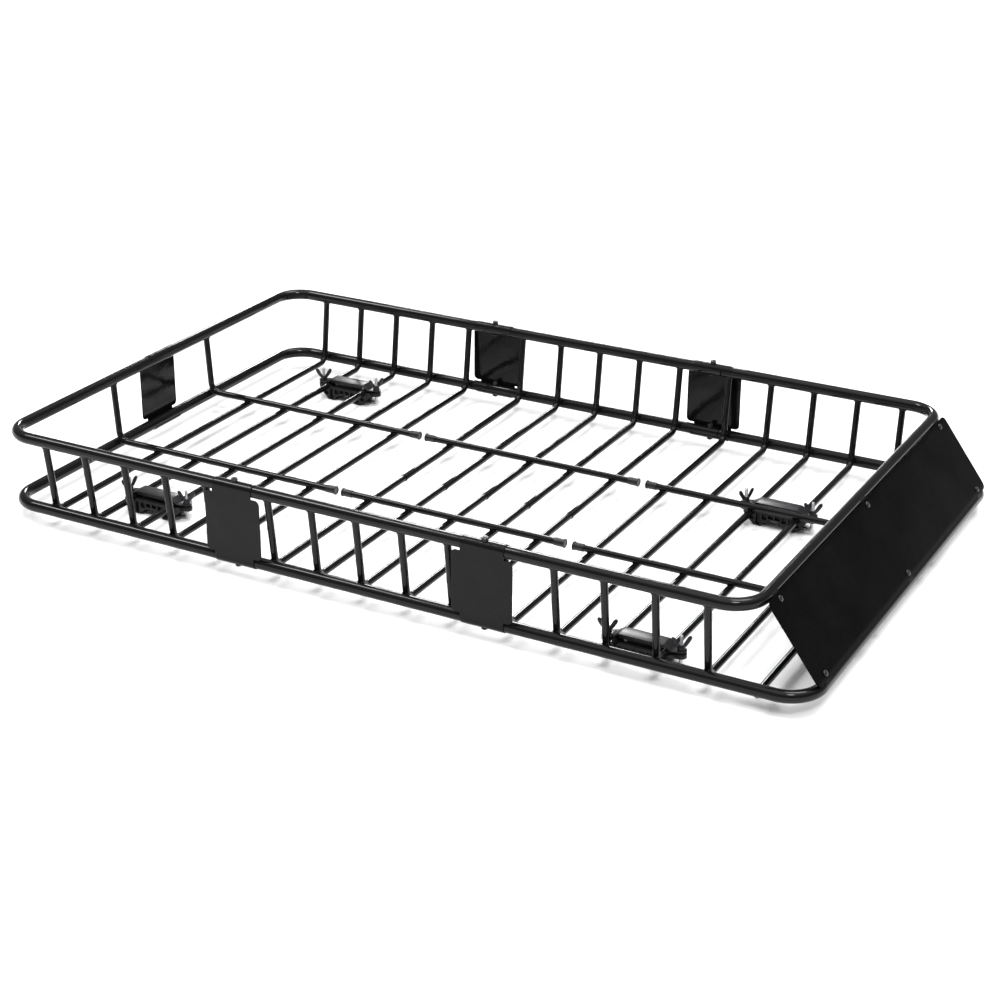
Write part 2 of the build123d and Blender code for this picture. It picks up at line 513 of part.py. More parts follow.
    for tag, xs, turn in (("rear", -LEG_X, NUT_TURN[spot][0]), ("front", LEG_X, NUT_TURN[spot][1])):
        c, s = cos(radians(turn)), sin(radians(turn))
        with BuildPart() as wing_nut:
            with BuildSketch(Plane(origin=(xc + xs, yc, NUT_Z), x_dir=(c, s, 0), z_dir=(s, -c, 0))) as half:
                with BuildLine():
                    Polyline((0, 0), (6.6, 0), (6.6, 2.0), (5.4, 8.4), (0, 8.4), close=True)
                make_face()
            revolve(half.sketch, axis=Axis((xc + xs, yc, 0), (0, 0, 1)))
            with BuildSketch(Plane(origin=(xc + xs, yc, NUT_Z), x_dir=(c, s, 0), z_dir=(s, -c, 0))) as wings:
                with BuildLine():
                    Polyline((0, 1.5), (6.6, 2.2), (10.8, 7.0), (16.6, 15.5), (17.4, 20.0), (15.6, 23.0),
                             (12.2, 23.4), (9.4, 19.5), (7.4, 13.5), (5.0, 8.4), (0, 8.0), close=True)
                make_face()
                mirror(about=Plane.YZ)
            extrude(wings.sketch, amount=2.0, both=True)
            with Locations((xc + xs, yc, NUT_Z)):
                Cylinder(ROD_R + 0.08, 60, mode=Mode.SUBTRACT)
        wing_nut.part.label = f"wing_nut_{tag}_{spot}"
        export_step(wing_nut.part, f"parts/wing_nut_{tag}_{spot}.step")
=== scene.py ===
from math import acos, asin, atan2, cos, pi, radians, sin, sqrt

import bmesh
import bpy
import numpy as np
from mathutils import Matrix, Vector


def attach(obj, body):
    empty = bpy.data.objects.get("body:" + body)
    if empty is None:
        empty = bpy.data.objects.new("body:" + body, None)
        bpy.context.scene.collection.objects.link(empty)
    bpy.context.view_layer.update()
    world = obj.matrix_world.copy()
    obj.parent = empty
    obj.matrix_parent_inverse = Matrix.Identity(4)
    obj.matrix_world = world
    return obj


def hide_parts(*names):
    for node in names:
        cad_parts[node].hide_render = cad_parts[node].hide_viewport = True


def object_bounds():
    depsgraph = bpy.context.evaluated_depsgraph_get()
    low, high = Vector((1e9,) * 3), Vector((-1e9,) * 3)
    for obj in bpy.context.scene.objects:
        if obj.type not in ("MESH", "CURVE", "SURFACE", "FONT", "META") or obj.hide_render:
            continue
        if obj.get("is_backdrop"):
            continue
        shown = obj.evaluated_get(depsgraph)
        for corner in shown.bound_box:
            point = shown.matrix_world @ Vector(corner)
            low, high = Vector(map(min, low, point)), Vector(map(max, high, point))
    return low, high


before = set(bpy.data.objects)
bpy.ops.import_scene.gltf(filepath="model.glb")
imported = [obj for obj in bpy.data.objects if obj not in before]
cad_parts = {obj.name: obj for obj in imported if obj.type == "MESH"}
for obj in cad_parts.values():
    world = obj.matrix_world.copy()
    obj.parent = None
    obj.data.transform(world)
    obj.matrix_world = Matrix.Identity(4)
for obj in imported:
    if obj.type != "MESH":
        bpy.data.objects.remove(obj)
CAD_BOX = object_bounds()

MM = 0.001

# ------------------------------------------------------------------ camera
def make_camera():
    cam = bpy.data.cameras.new("camera")
    cam.lens = 73.997
    cam.sensor_width = 36.0
    cam.clip_end = 200
    o = bpy.data.objects.new("camera", cam)
    bpy.context.scene.collection.objects.link(o)
    yaw, pit, rol = 0.496194, -0.421371, 0.0036432
    d = Vector((-sin(yaw) * cos(pit), cos(yaw) * cos(pit), sin(pit)))
    r = d.cross(Vector((0, 0, 1))).normalized()
    u = r.cross(d)
    r2 = r * cos(rol) + u * sin(rol)
    u2 = -r * sin(rol) + u * cos(rol)
    m = Matrix((r2, u2, -d)).transposed().to_4x4()
    m.translation = Vector((1.70824, -3.16636, 1.63209))
    o.matrix_world = m
    bpy.context.scene.camera = o


make_camera()

# --------------------------------------------------------------- dimensions
# All in millimetres in the frame's own axes, and turned to metres when a mesh is made.
RAIL_R, BAR_R = 11.1, 6.5
X_REAR, X_FRONT, X_TOP_FRONT = -801.0, 802.15, 700.5
HALF_W, RAIL_BEND = 478.8, 58.0
Z_BOT, Z_TOP, Z_BAR, Z_FLOOR = 34.0, 171.3, 28.0, 41.1
PITCH = 90.74
X_REAR_BARS = [-704.4 + i * PITCH for i in range(5)]
X_MID_BARS = [-209.85 + i * PITCH for i in range(5)]
X_FRONT_BARS = [262.0 + i * PITCH for i in range(5)]
X_END_BAR = 262.0 + 5 * PITCH
BAR_BEND, Y_CORNER, Y_FLOOR = 20.0, 461.4, 157.0
BOLT_X_REAR, BOLT_X_FRONT, SPIGOT = -277.6, 225.1, 40.0
JOIN_Y = -18.5
PLATE_T, PLATE_W, SLEEVE_W, PLATE_H = 1.2, 116.6, 83.0, 116.0
FAIR_T, FAIR_W, FAIR_H = 1.5, 901.0, 160.0
FLOOR_GAPS = ((-276.0, -262.0), (214.0, 230.0))
SEAM_REAR, SEAM_FRONT = BOLT_X_REAR - SPIGOT / 2, BOLT_X_FRONT + SPIGOT / 2
CLAMP_X = {"rear": (X_REAR_BARS[1] + X_REAR_BARS[2]) / 2, "front": (X_FRONT_BARS[2] + X_FRONT_BARS[3]) / 2}
CLAMP_Y = {"rear_far": 352.0, "rear_near": -330.0, "front_far": 192.0, "front_near": -413.0}
NUT_TURN = {"rear_far": (25, 60), "rear_near": (70, 15), "front_far": (60, 20), "front_near": (15, 35)}
SLOPE = sqrt((X_FRONT - X_TOP_FRONT) ** 2 + (Z_TOP - Z_BOT) ** 2)
TX, TZ = (X_FRONT - X_TOP_FRONT) / SLOPE, (Z_BOT - Z_TOP) / SLOPE
NX, NZ = -TZ, TX
RO, RI = RAIL_R + 0.05 + PLATE_T, RAIL_R + 0.05
rng = np.random.default_rng(7)


# ------------------------------------------------------------- mesh helpers
class Mesh:
    """Collects vertices and faces in millimetres, and makes one piece of them."""

    def __init__(self):
        self.v, self.f, self.m = [], [], []
        self.n = 0

    def add(self, verts, faces, mat=0):
        verts = np.asarray(verts, float).reshape(-1, 3)
        self.v.append(verts)
        self.f += [tuple(int(i) + self.n for i in f) for f in faces]
        self.m += [mat] * len(faces)
        self.n += len(verts)

    def grid(self, rows, wrap=True, cap_start=False, cap_end=False, mat=0):
        """rows: array (a, b, 3). Faces join each row to the next."""
        rows = np.asarray(rows, float)
        a, b = rows.shape[:2]
        faces = []
        for i in range(a - 1):
            for j in range(b if wrap else b - 1):
                k = (j + 1) % b
                faces.append((i * b + j, i * b + k, (i + 1) * b + k, (i + 1) * b + j))
        if cap_start:
            faces.append(tuple(range(b - 1, -1, -1)))
        if cap_end:
            faces.append(tuple((a - 1) * b + j for j in range(b)))
        self.add(rows.reshape(-1, 3), faces, mat)

    def build(self, name, smooth_angle=35):
        me = bpy.data.meshes.new(name)
        me.from_pydata((np.vstack(self.v) * MM).tolist(), [], self.f)
        me.polygons.foreach_set("material_index", self.m)
        me.validate()
        me.update()
        o = bpy.data.objects.new(name, me)
        bpy.context.scene.collection.objects.link(o)
        tidy(me)
        shade(o, smooth_angle)
        return o


def tidy(me):
    bm = bmesh.new()
    bm.from_mesh(me)
    bmesh.ops.recalc_face_normals(bm, faces=bm.faces)
    bm.to_mesh(me)
    bm.free()


def shade(o, angle=35):
    """Smooth shading, with edges sharper than angle marked sharp."""
    me = o.data
    bm = bmesh.new()
    bm.from_mesh(me)
    for f in bm.faces:
        f.smooth = True
    lim = radians(angle)
    for e in bm.edges:
        e.smooth = not (len(e.link_faces) == 2 and e.calc_face_angle(0) > lim) and len(e.link_faces) == 2
    bm.to_mesh(me)
    bm.free()


def fillet(points, radius, step=4.0):
    """The points of a polyline whose corners are rounded, with radius a number or one for each corner."""
    p = [np.asarray(q, float) for q in points]
    out = [p[0]]
    for i in range(1, len(p) - 1):
        r = radius[i - 1] if isinstance(radius, (list, tuple)) else radius
        a, b = p[i - 1] - p[i], p[i + 1] - p[i]
        a, b = a / np.linalg.norm(a), b / np.linalg.norm(b)
        ang = acos(max(-1, min(1, float(a @ b))))
        t = r / np.tan(ang / 2)
        mid = (a + b) / np.linalg.norm(a + b)
        c = p[i] + mid * (r / sin(ang / 2))
        s, e = p[i] + a * t - c, p[i] + b * t - c
        turn = pi - ang
        n = max(6, int(turn / radians(step)))
        for k in range(n + 1):
            w = turn * k / n
            out.append(c + s * (sin(turn - w) / sin(turn)) + e * (sin(w) / sin(turn)))
    out.append(p[-1])
    return np.array(out)


def densify(path, step):
    out = [path[0]]
    for a, b in zip(path[:-1], path[1:]):
        n = max(1, int(np.linalg.norm(b - a) / step))
        out += [a + (b - a) * k / n for k in range(1, n + 1)]
    return np.array(out)


def frames(path, closed=False):
    """Tangent and two normals at each point, carried along without twist."""
    p = np.asarray(path, float)
    if closed:
        t = np.roll(p, -1, 0) - np.roll(p, 1, 0)
    else:
        t = np.gradient(p, axis=0)
        t[0], t[-1] = p[1] - p[0], p[-1] - p[-2]
    t /= np.linalg.norm(t, axis=1)[:, None]
    up = np.array([0, 0, 1.0]) if abs(t[0][2]) < 0.9 else np.array([1.0, 0, 0])
    n = np.cross(t[0], up)
    n /= np.linalg.norm(n)
    ns = [n]
    for i in range(1, len(p)):
        n = ns[-1] - t[i] * (ns[-1] @ t[i])
        ns.append(n / np.linalg.norm(n))
    n = np.array(ns)
    return t, n, np.cross(t, n)


def sweep(path, radius, seg=40, closed=False, twist=None):
    """Rings of a round tube along path. radius is a number or one for each point."""
    t, n, b = frames(path, closed)
    r = np.broadcast_to(np.asarray(radius, float), (len(path),))
    a = np.linspace(0, 2 * pi, seg, endpoint=False)
    return np.asarray(path)[:, None] + r[:, None, None] * (n[:, None] * np.cos(a)[None, :, None] + b[:, None] * np.sin(a)[None, :, None])


def tube(mesh, path, r, wall, seg=40, open_start=True, open_end=True, mat=0):
    """A tube along path with a rounded rim and a bore that shows for a little way at each open end."""
    path = np.asarray(path, float)
    d0 = (path[1] - path[0]) / np.linalg.norm(path[1] - path[0])
    d1 = (path[-1] - path[-2]) / np.linalg.norm(path[-1] - path[-2])
    k = min(0.35, wall / 2.5)
    depth = 14.0
    pts, rad = [], []
    for off, rr in ((depth, 0.001), (depth, r - wall), (k, r - wall), (0.1, r - wall + k * 0.3), (0, r - wall + k), (0, r - k), (0.1, r - k * 0.3), (k, r)):
        pts.append(path[0] + d0 * off); rad.append(rr)
    for q in path[1:-1]:
        pts.append(q); rad.append(r)
    for off, rr in ((k, r), (0.1, r - k * 0.3), (0, r - k), (0, r - wall + k), (0.1, r - wall + k * 0.3), (k, r - wall), (depth, r - wall), (depth, 0.001)):
        pts.append(path[-1] - d1 * off); rad.append(rr)
    pts = np.array(pts)
    # frames come from the outer path alone, because the rim's points turn back on themselves
    t, n, b = frames(path)
    n = np.vstack([[n[0]] * 8, n[1:-1], [n[-1]] * 8])
    b = np.vstack([[b[0]] * 8, b[1:-1], [b[-1]] * 8])
    a = np.linspace(0, 2 * pi, seg, endpoint=False)
    rad = np.array(rad)
    rows = pts[:, None] + rad[:, None, None] * (n[:, None] * np.cos(a)[None, :, None] + b[:, None] * np.sin(a)[None, :, None])
    if not open_start:
        rows = rows[7:]
    if not open_end:
        rows = rows[:-7]
    mesh.grid(rows, cap_start=True, cap_end=True, mat=mat)


def lathe(mesh, profile, origin, axis=(0, 0, 1), seg=48, hexr=None, mat=0):
    """profile: (radius, height) pairs. hexr: across-flats half width, which cuts the round to a hexagon."""
    axis = np.asarray(axis, float) / np.linalg.norm(axis)
    up = np.array([0, 0, 1.0]) if abs(axis[2]) < 0.9 else np.array([1.0, 0, 0])
    e1 = np.cross(axis, up); e1 /= np.linalg.norm(e1)
    e2 = np.cross(axis, e1)
    a = np.linspace(0, 2 * pi, seg, endpoint=False)
    rows = []
    for r, h in profile:
        rr = np.full(seg, float(r))
        if hexr:
            rr = np.minimum(rr, hexr / np.cos((a % (pi / 3)) - pi / 6))
        rows.append(np.asarray(origin, float) + axis * h + rr[:, None] * (e1 * np.cos(a)[:, None] + e2 * np.sin(a)[:, None]))
    mesh.grid(np.array(rows), cap_start=True, cap_end=True, mat=mat)


def bead(mesh, path, size, closed=True, seg=12, ripple=1.9, seed=0, taper=True, squash=0.8):
    """A weld bead: a soft tube along path whose size ripples as the puddle was laid."""
    g = np.random.default_rng(seed)
    p = np.asarray(path, float)
    d = np.linalg.norm(np.diff(p, axis=0), axis=1)
    s = np.concatenate([[0], np.cumsum(d)])
    n = max(24, int(s[-1] / 0.42))
    u = np.linspace(0, s[-1], n, endpoint=not closed)
    q = np.stack([np.interp(u, s, p[:, k]) for k in range(3)], 1)
    ph = g.uniform(0, 6)
    r = size * (1 + 0.13 * np.abs(np.sin(u / ripple * pi + ph)) - 0.06 + 0.07 * np.sin(u * 0.31 + ph * 2) + 0.05 * np.sin(u * 0.83 + ph))
    if not closed and taper:
        e = np.minimum(u, s[-1] - u) / (size * 1.6)
        r = r * np.sqrt(np.clip(e, 0.02, 1) * (2 - np.clip(e, 0.02, 1)))
    rows = sweep(q, r, seg, closed)
    if closed:
        rows = np.concatenate([rows, rows[:1]], 0)
        a, b = rows.shape[:2]
        verts = rows[:-1].reshape(-1, 3)
        faces = []
        # the first ring may be turned against the last, so it is matched to it by the nearest vertex
        first, last = rows[0], rows[-2]
        shift = int(np.argmin([np.linalg.norm(np.roll(first, -k, 0) - last, axis=1).sum() for k in range(b)]))
        for i in range(a - 1):
            for j in range(b):
                k = (j + 1) % b
                i2 = i + 1
                if i2 == a - 1:
                    faces.append((i * b + j, i * b + k, (k + shift) % b, (j + shift) % b))
                else:
                    faces.append((i * b + j, i * b + k, i2 * b + k, i2 * b + j))
        mesh.add(verts, faces)
    else:
        mesh.grid(rows, cap_start=True, cap_end=True)


def joint_curve(centre, rail_axis, rail_r, bar_dir, bar_r, n=40, lift=0.0):
    """The closed curve where a bar that points along bar_dir meets a rail through centre."""
    c, ax = np.asarray(centre, float), np.asarray(rail_axis, float)
    d = np.asarray(bar_dir, float) / np.linalg.norm(bar_dir)
    e1 = ax - d * (ax @ d); e1 /= np.linalg.norm(e1)
    e2 = np.cross(d, e1)
    out = []
    for k in range(n + 1):
        w = 2 * pi * k / n
        o = (bar_r + lift) * (e1 * cos(w) + e2 * sin(w))
        # |o + t d| across the rail's axis is rail_r
        oo, dd = o - ax * (o @ ax), d - ax * (d @ ax)
        A, B, C = dd @ dd, 2 * oo @ dd, oo @ oo - (rail_r + lift) ** 2
        t = (-B + sqrt(max(0, B * B - 4 * A * C))) / (2 * A)
        out.append(c + o + d * t)
    return np.array(out)


PIECES = []


def piece(o, body, nodes=(), mat=None):
    """One finished piece: it rides on body, stands for nodes and has its material."""
    if mat:
        o.data.materials.clear()
        for m in mat if isinstance(mat, (list, tuple)) else [mat]:
            o.data.materials.append(m)
    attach(o, body)
    if nodes:
        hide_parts(*nodes)
    PIECES.append(o)
    return o


# ---------------------------------------------------------------- materials
def new_material(name):
    m = bpy.data.materials.new(name)
    m.use_nodes = True
    nt = m.node_tree
    bsdf = nt.nodes["Principled BSDF"]
    return m, nt, bsdf


def noise(nt, scale, detail=3.0, rough=0.5, vec=None, kind="NOISE"):
    n = nt.nodes.new("ShaderNodeTexNoise")
    n.inputs["Scale"].default_value = scale
    n.inputs["Detail"].default_value = detail
    n.inputs["Roughness"].default_value = rough
    nt.links.new(vec, n.inputs["Vector"])
    return n.outputs["Fac"]


def remap(nt, value, a, b, lo=0.0, hi=1.0):
    n = nt.nodes.new("ShaderNodeMapRange")
    n.inputs["From Min"].default_value = lo
    n.inputs["From Max"].default_value = hi
    n.inputs["To Min"].default_value = a
    n.inputs["To Max"].default_value = b
    nt.links.new(value, n.inputs["Value"])
    return n.outputs["Result"]


def mix_rgb(nt, fac, c1, c2):
    n = nt.nodes.new("ShaderNodeMix")
    n.data_type = "RGBA"
    nt.links.new(fac, n.inputs["Factor"])
    for sock, c in ((n.inputs[6], c1), (n.inputs[7], c2)):
        if isinstance(c, (tuple, list)):
            sock.default_value = (*c, 1)
        else:
            nt.links.new(c, sock)
    return n.outputs[2]


def add_values(nt, a, b, ka=1.0, kb=1.0):
    m1 = nt.nodes.new("ShaderNodeMath"); m1.operation = "MULTIPLY"; m1.inputs[1].default_value = ka
    m2 = nt.nodes.new("ShaderNodeMath"); m2.operation = "MULTIPLY_ADD"; m2.inputs[1].default_value = kb
    nt.links.new(a, m1.inputs[0]); nt.links.new(b, m2.inputs[0]); nt.links.new(m1.outputs[0], m2.inputs[2])
    return m2.outputs[0]


def bump(nt, bsdf, height, strength, distance):
    b = nt.nodes.new("ShaderNodeBump")
    b.inputs["Strength"].default_value = strength
    b.inputs["Distance"].default_value = distance
    nt.links.new(height, b.inputs["Height"])
    nt.links.new(b.outputs["Normal"], bsdf.inputs["Normal"])
    return b


def painted(name, base, alt, rough=(0.12, 0.24), peel=520.0, peel_depth=0.00006, spec=0.35, coat=0.0, waves=0.0, dust=0.25):
    """Powder coat: orange peel, a slow drift of gloss, and a little dust that lies on top faces."""
    m, nt, bsdf = new_material(name)
    geo = nt.nodes.new("ShaderNodeTexCoord").outputs["Object"]
    slow = noise(nt, 9.0, 3, 0.55, geo)
    fine = noise(nt, peel, 2, 0.5, geo)
    specks = noise(nt, 1900.0, 1, 0.5, geo)
    colour = mix_rgb(nt, slow, base, alt)
    # fine light dust on faces that look up
    normal = nt.nodes.new("ShaderNodeNewGeometry").outputs["Normal"]
    sep = nt.nodes.new("ShaderNodeSeparateXYZ")
    nt.links.new(normal, sep.inputs[0])
    up = remap(nt, sep.outputs["Z"], 0, 1, 0.25, 1.0)
    speck = remap(nt, specks, 0, 1, 0.66, 0.80)
    mul = nt.nodes.new("ShaderNodeMath"); mul.operation = "MULTIPLY"
    nt.links.new(up, mul.inputs[0]); nt.links.new(speck, mul.inputs[1])
    mul2 = nt.nodes.new("ShaderNodeMath"); mul2.operation = "MULTIPLY"; mul2.inputs[1].default_value = dust
    nt.links.new(mul.outputs[0], mul2.inputs[0])
    colour = mix_rgb(nt, mul2.outputs[0], colour, (0.10, 0.10, 0.105))
    nt.links.new(colour, bsdf.inputs["Base Color"])
    r = add_values(nt, remap(nt, slow, rough[0], rough[1], 0.3, 0.7), fine, 1.0, 0.03)
    nt.links.new(r, bsdf.inputs["Roughness"])
    h = add_values(nt, fine, noise(nt, 60.0, 2, 0.5, geo), 1.0, 1.5 + waves)
    bump(nt, bsdf, h, 0.5, peel_depth)
    bsdf.inputs["Specular IOR Level"].default_value = spec
    bsdf.inputs["Coat Weight"].default_value = coat
    bsdf.inputs["Coat Roughness"].default_value = 0.06
    return m


def plastic(name, base, alt, rough=(0.35, 0.55), grain=2200.0, depth=0.00005, spec=0.4):
    m, nt, bsdf = new_material(name)
    geo = nt.nodes.new("ShaderNodeTexCoord").outputs["Object"]
    slow = noise(nt, 24.0, 4, 0.6, geo)
    g = noise(nt, grain, 3, 0.6, geo)
    nt.links.new(mix_rgb(nt, slow, base, alt), bsdf.inputs["Base Color"])
    nt.links.new(add_values(nt, remap(nt, slow, rough[0], rough[1], 0.3, 0.7), g, 1.0, 0.08), bsdf.inputs["Roughness"])
    bump(nt, bsdf, g, 0.55, depth)
    bsdf.inputs["Specular IOR Level"].default_value = spec
    return m


def plated(name, base, alt, rough=(0.22, 0.4), metallic=1.0, spec=0.5):
    """Plated or blackened steel: fine grain and mottled gloss."""
    m, nt, bsdf = new_material(name)
    geo = nt.nodes.new("ShaderNodeTexCoord").outputs["Object"]
    slow = noise(nt, 90.0, 4, 0.6, geo)
    fine = noise(nt, 2600.0, 3, 0.65, geo)
    nt.links.new(mix_rgb(nt, slow, base, alt), bsdf.inputs["Base Color"])
    nt.links.new(add_values(nt, remap(nt, slow, rough[0], rough[1], 0.3, 0.7), fine, 1.0, 0.08), bsdf.inputs["Roughness"])
    bump(nt, bsdf, fine, 0.4, 0.00003)
    bsdf.inputs["Metallic"].default_value = metallic
    bsdf.inputs["Specular IOR Level"].default_value = spec
    return m


M_RAIL = painted("rail_powder_coat", (0.0030, 0.0030, 0.0033), (0.0048, 0.0048, 0.0054), (0.05, 0.10), spec=0.21)
M_BAR = painted("bar_powder_coat", (0.0030, 0.0030, 0.0033), (0.0050, 0.0050, 0.0057), (0.05, 0.11), peel=620, spec=0.21)
M_WELD = painted("weld_powder_coat", (0.003, 0.003, 0.0033), (0.006, 0.006, 0.0067), (0.12, 0.22), peel=900, peel_depth=0.00008, spec=0.3)
M_PLATE = painted("plate_powder_coat", (0.0034, 0.0033, 0.0035), (0.0060, 0.0057, 0.0060), (0.06, 0.12), peel=480, waves=9.0, spec=0.14)
M_FAIR = painted("fairing_powder_coat", (0.0018, 0.0018, 0.0021), (0.0032, 0.0032, 0.0036), (0.12, 0.22), peel=560, waves=2.0, spec=0.012)
M_CLAMP = painted("clamp_powder_coat", (0.008, 0.008, 0.009), (0.016, 0.016, 0.018), (0.24, 0.38), peel=900, spec=0.17)
M_SADDLE = plastic("saddle_moulded_nylon", (0.0045, 0.0045, 0.005), (0.0085, 0.0085, 0.009), spec=0.22)
M_CAP = plastic("cap_moulded_plastic", (0.0045, 0.0045, 0.005), (0.008, 0.008, 0.0085), (0.28, 0.42))
M_BLACK = plated("black_oxide_steel", (0.007, 0.007, 0.008), (0.022, 0.022, 0.024), (0.20, 0.36), metallic=0.35, spec=0.6)
M_ZINC = plated("zinc_plated_steel", (0.30, 0.305, 0.315), (0.48, 0.485, 0.50), (0.22, 0.38), metallic=1.0)

# -------------------------------------------------------------------- rails
def rail_swage(seam, y, z, d):
    """The tube's end beyond the seam: it necks down and enters the next tube. d is the way it points, along X."""
    xs = (-3.0, -2.4, -1.6, -0.8, 0.0, 1.0, 14.0)
    rs = (11.1, 11.02, 10.65, 10.1, 9.8, 9.75, 9.75)
    return [((seam + d * x, y, z), r) for x, r in zip(xs, rs)]


def end_rail(name, z, x_end, seam, d):
    """One U of rail: neck, side, corner, end run, corner, side, neck. d = 1 for a neck that points to +X."""
    turn = densify(fillet([(seam - d * 3, -HALF_W, z), (x_end, -HALF_W, z), (x_end, HALF_W, z), (seam - d * 3, HALF_W, z)], RAIL_BEND, 2.5), 60)
    a = rail_swage(seam, -HALF_W, z, d)[::-1][:-1]
    b = rail_swage(seam, HALF_W, z, d)[1:]
    path = np.array([p for p, r in a] + [tuple(p) for p in turn] + [p for p, r in b])
    rad = np.array([r for p, r in a] + [RAIL_R] * len(turn) + [r for p, r in b])
    m = Mesh()
    m.grid(sweep(path, rad, 56), cap_start=True, cap_end=True)
    piece(m.build(name + "_tube"), "basket", [name], M_RAIL)


end_rail("rear_top_rail", Z_TOP, X_REAR, SEAM_REAR, 1)
end_rail("rear_bottom_rail", Z_BOT, X_REAR, SEAM_REAR, 1)
end_rail("front_top_rail", Z_TOP, X_TOP_FRONT, SEAM_FRONT, -1)
end_rail("front_bottom_rail", Z_BOT, X_FRONT, SEAM_FRONT, -1)
for side, y in (("near", -HALF_W), ("far", HALF_W)):
    for level, z in (("top", Z_TOP), ("bottom", Z_BOT)):
        m = Mesh()
        tube(m, densify(np.array([(SEAM_REAR + 0.2, y, z), (SEAM_FRONT - 0.2, y, z)], float), 60), RAIL_R, 1.2, 56)
        piece(m.build(f"middle_{side}_{level}_rail_tube"), "basket", [f"middle_{side}_{level}_rail"], M_RAIL)

# ---------------------------------------------------------------- crossbars
def upright_path(x, s, inner_y):
    """From inside the top rail down the upright and along the floor to inner_y. s is the side."""
    top, corner = np.array([x, s * HALF_W, Z_TOP]), np.array([x, s * Y_CORNER, Z_BAR])
    d = (corner - top) / np.linalg.norm(corner - top)
    return [tuple(top + d * 8.5), tuple(corner), (x, inner_y, Z_BAR)]


def u_bar_path(x):
    a, b = upright_path(x, -1, 0), upright_path(x, 1, 0)
    return densify(fillet([a[0], a[1], b[1], b[0]], BAR_BEND), 50)


for name, stations in (("rear_crossbars", X_REAR_BARS), ("front_crossbars", X_FRONT_BARS)):
    m = Mesh()
    for x in stations:
        tube(m, u_bar_path(x), BAR_R, 1.0, 32, False, False)
    piece(m.build(name + "_tubes"), "basket", [name], M_BAR)

near, far = Mesh(), Mesh()
for x in X_MID_BARS:
    # the near half necks down and enters the far half, whose end is rolled to a lip
    run = densify(fillet(upright_path(x, -1, JOIN_Y - 3.0), BAR_BEND), 50)
    neck = np.array([(x, JOIN_Y + q, Z_BAR) for q in (-2.2, -1.2, -0.5, 0.0, 0.6, 14.0, 27.8)])
    radii = np.array([BAR_R] * len(run) + [6.44, 6.2, 5.75, 5.45, 5.38, 5.38, 5.38])
    near.grid(sweep(np.concatenate([run, neck]), radii, 32), cap_start=True, cap_end=True)
    run = densify(fillet(upright_path(x, 1, JOIN_Y + 3.0)[::-1], BAR_BEND), 50)
    tube(far, run, BAR_R, 1.0, 32, True, False)
    lathe(far, [(5.55, 0.2), (6.9, 0.22), (7.3, 0.35), (7.62, 0.7), (7.78, 1.15), (7.76, 1.7), (7.45, 2.2), (6.9, 2.65), (6.52, 3.0), (6.1, 3.05), (5.55, 2.6)],
          (x, JOIN_Y, Z_BAR), (0, 1, 0), 40)
piece(near.build("middle_near_crossbars_tubes"), "basket", ["middle_near_crossbars"], M_BAR)
piece(far.build("middle_far_crossbars_tubes"), "basket", ["middle_far_crossbars"], M_BAR)

m = Mesh()
tube(m, densify(np.array([(X_END_BAR, -HALF_W + 8.5, Z_BAR), (X_END_BAR, HALF_W - 8.5, Z_BAR)], float), 50), BAR_R, 1.0, 32, False, False)
piece(m.build("front_end_crossbar_tube"), "basket", ["front_end_crossbar"], M_BAR)

# --------------------------------------------------------------- floor bars
X_TURN = X_REAR + 8.0
m = Mesh()
for y in (-Y_FLOOR, Y_FLOOR):
    top, corner = np.array([X_REAR, y, Z_TOP]), np.array([X_TURN, y, Z_FLOOR])
    d = (corner - top) / np.linalg.norm(corner - top)
    tube(m, densify(fillet([top + d * 8.5, corner, (FLOOR_GAPS[0][0] - 2.2, y, Z_FLOOR)], BAR_BEND), 50), BAR_R, 1.0, 32, False, False)
piece(m.build("rear_floor_bars_tubes"), "basket", ["rear_floor_bars"], M_BAR)
for side, y in (("near", -Y_FLOOR), ("far", Y_FLOOR)):
    m = Mesh()
    tube(m, densify(np.array([(FLOOR_GAPS[0][1] + 2.2, y, Z_FLOOR), (FLOOR_GAPS[1][0] - 2.2, y, Z_FLOOR)], float), 50), BAR_R, 1.0, 32, False, False)
    piece(m.build(f"middle_{side}_floor_bar_tube"), "basket", [f"middle_{side}_floor_bar"], M_BAR)
m = Mesh()
for y in (-Y_FLOOR, Y_FLOOR):
    tube(m, densify(np.array([(FLOOR_GAPS[1][1] + 2.2, y, Z_FLOOR), (X_FRONT - 6.2, y, Z_FLOOR)], float), 50), BAR_R, 1.0, 32, False, False)
piece(m.build("front_floor_bars_tubes"), "basket", ["front_floor_bars"], M_BAR)

m = Mesh()
for x, d in ((FLOOR_GAPS[0][0], -1), (FLOOR_GAPS[0][1], 1), (FLOOR_GAPS[1][0], -1), (FLOOR_GAPS[1][1], 1)):
    for y in (-Y_FLOOR, Y_FLOOR):
        lathe(m, [(0.4, 0.5), (5.2, 0.5), (5.7, 0.42), (6.1, 0.12), (6.6, 0.0), (7.6, 0.0), (8.15, 0.15), (8.5, 0.55), (8.6, 1.0), (8.6, 2.5),
                  (8.45, 2.95), (8.1, 3.25), (7.75, 3.5), (7.65, 4.0), (7.55, 12.0), (7.4, 21.3), (7.25, 21.8), (6.9, 22.0), (6.55, 21.7), (6.55, 16.0), (0.4, 16.0)],
              (x, y, Z_FLOOR), (d, 0, 0), 40)
piece(m.build("floor_bar_caps_moulded"), "basket", ["floor_bar_caps"], M_CAP)

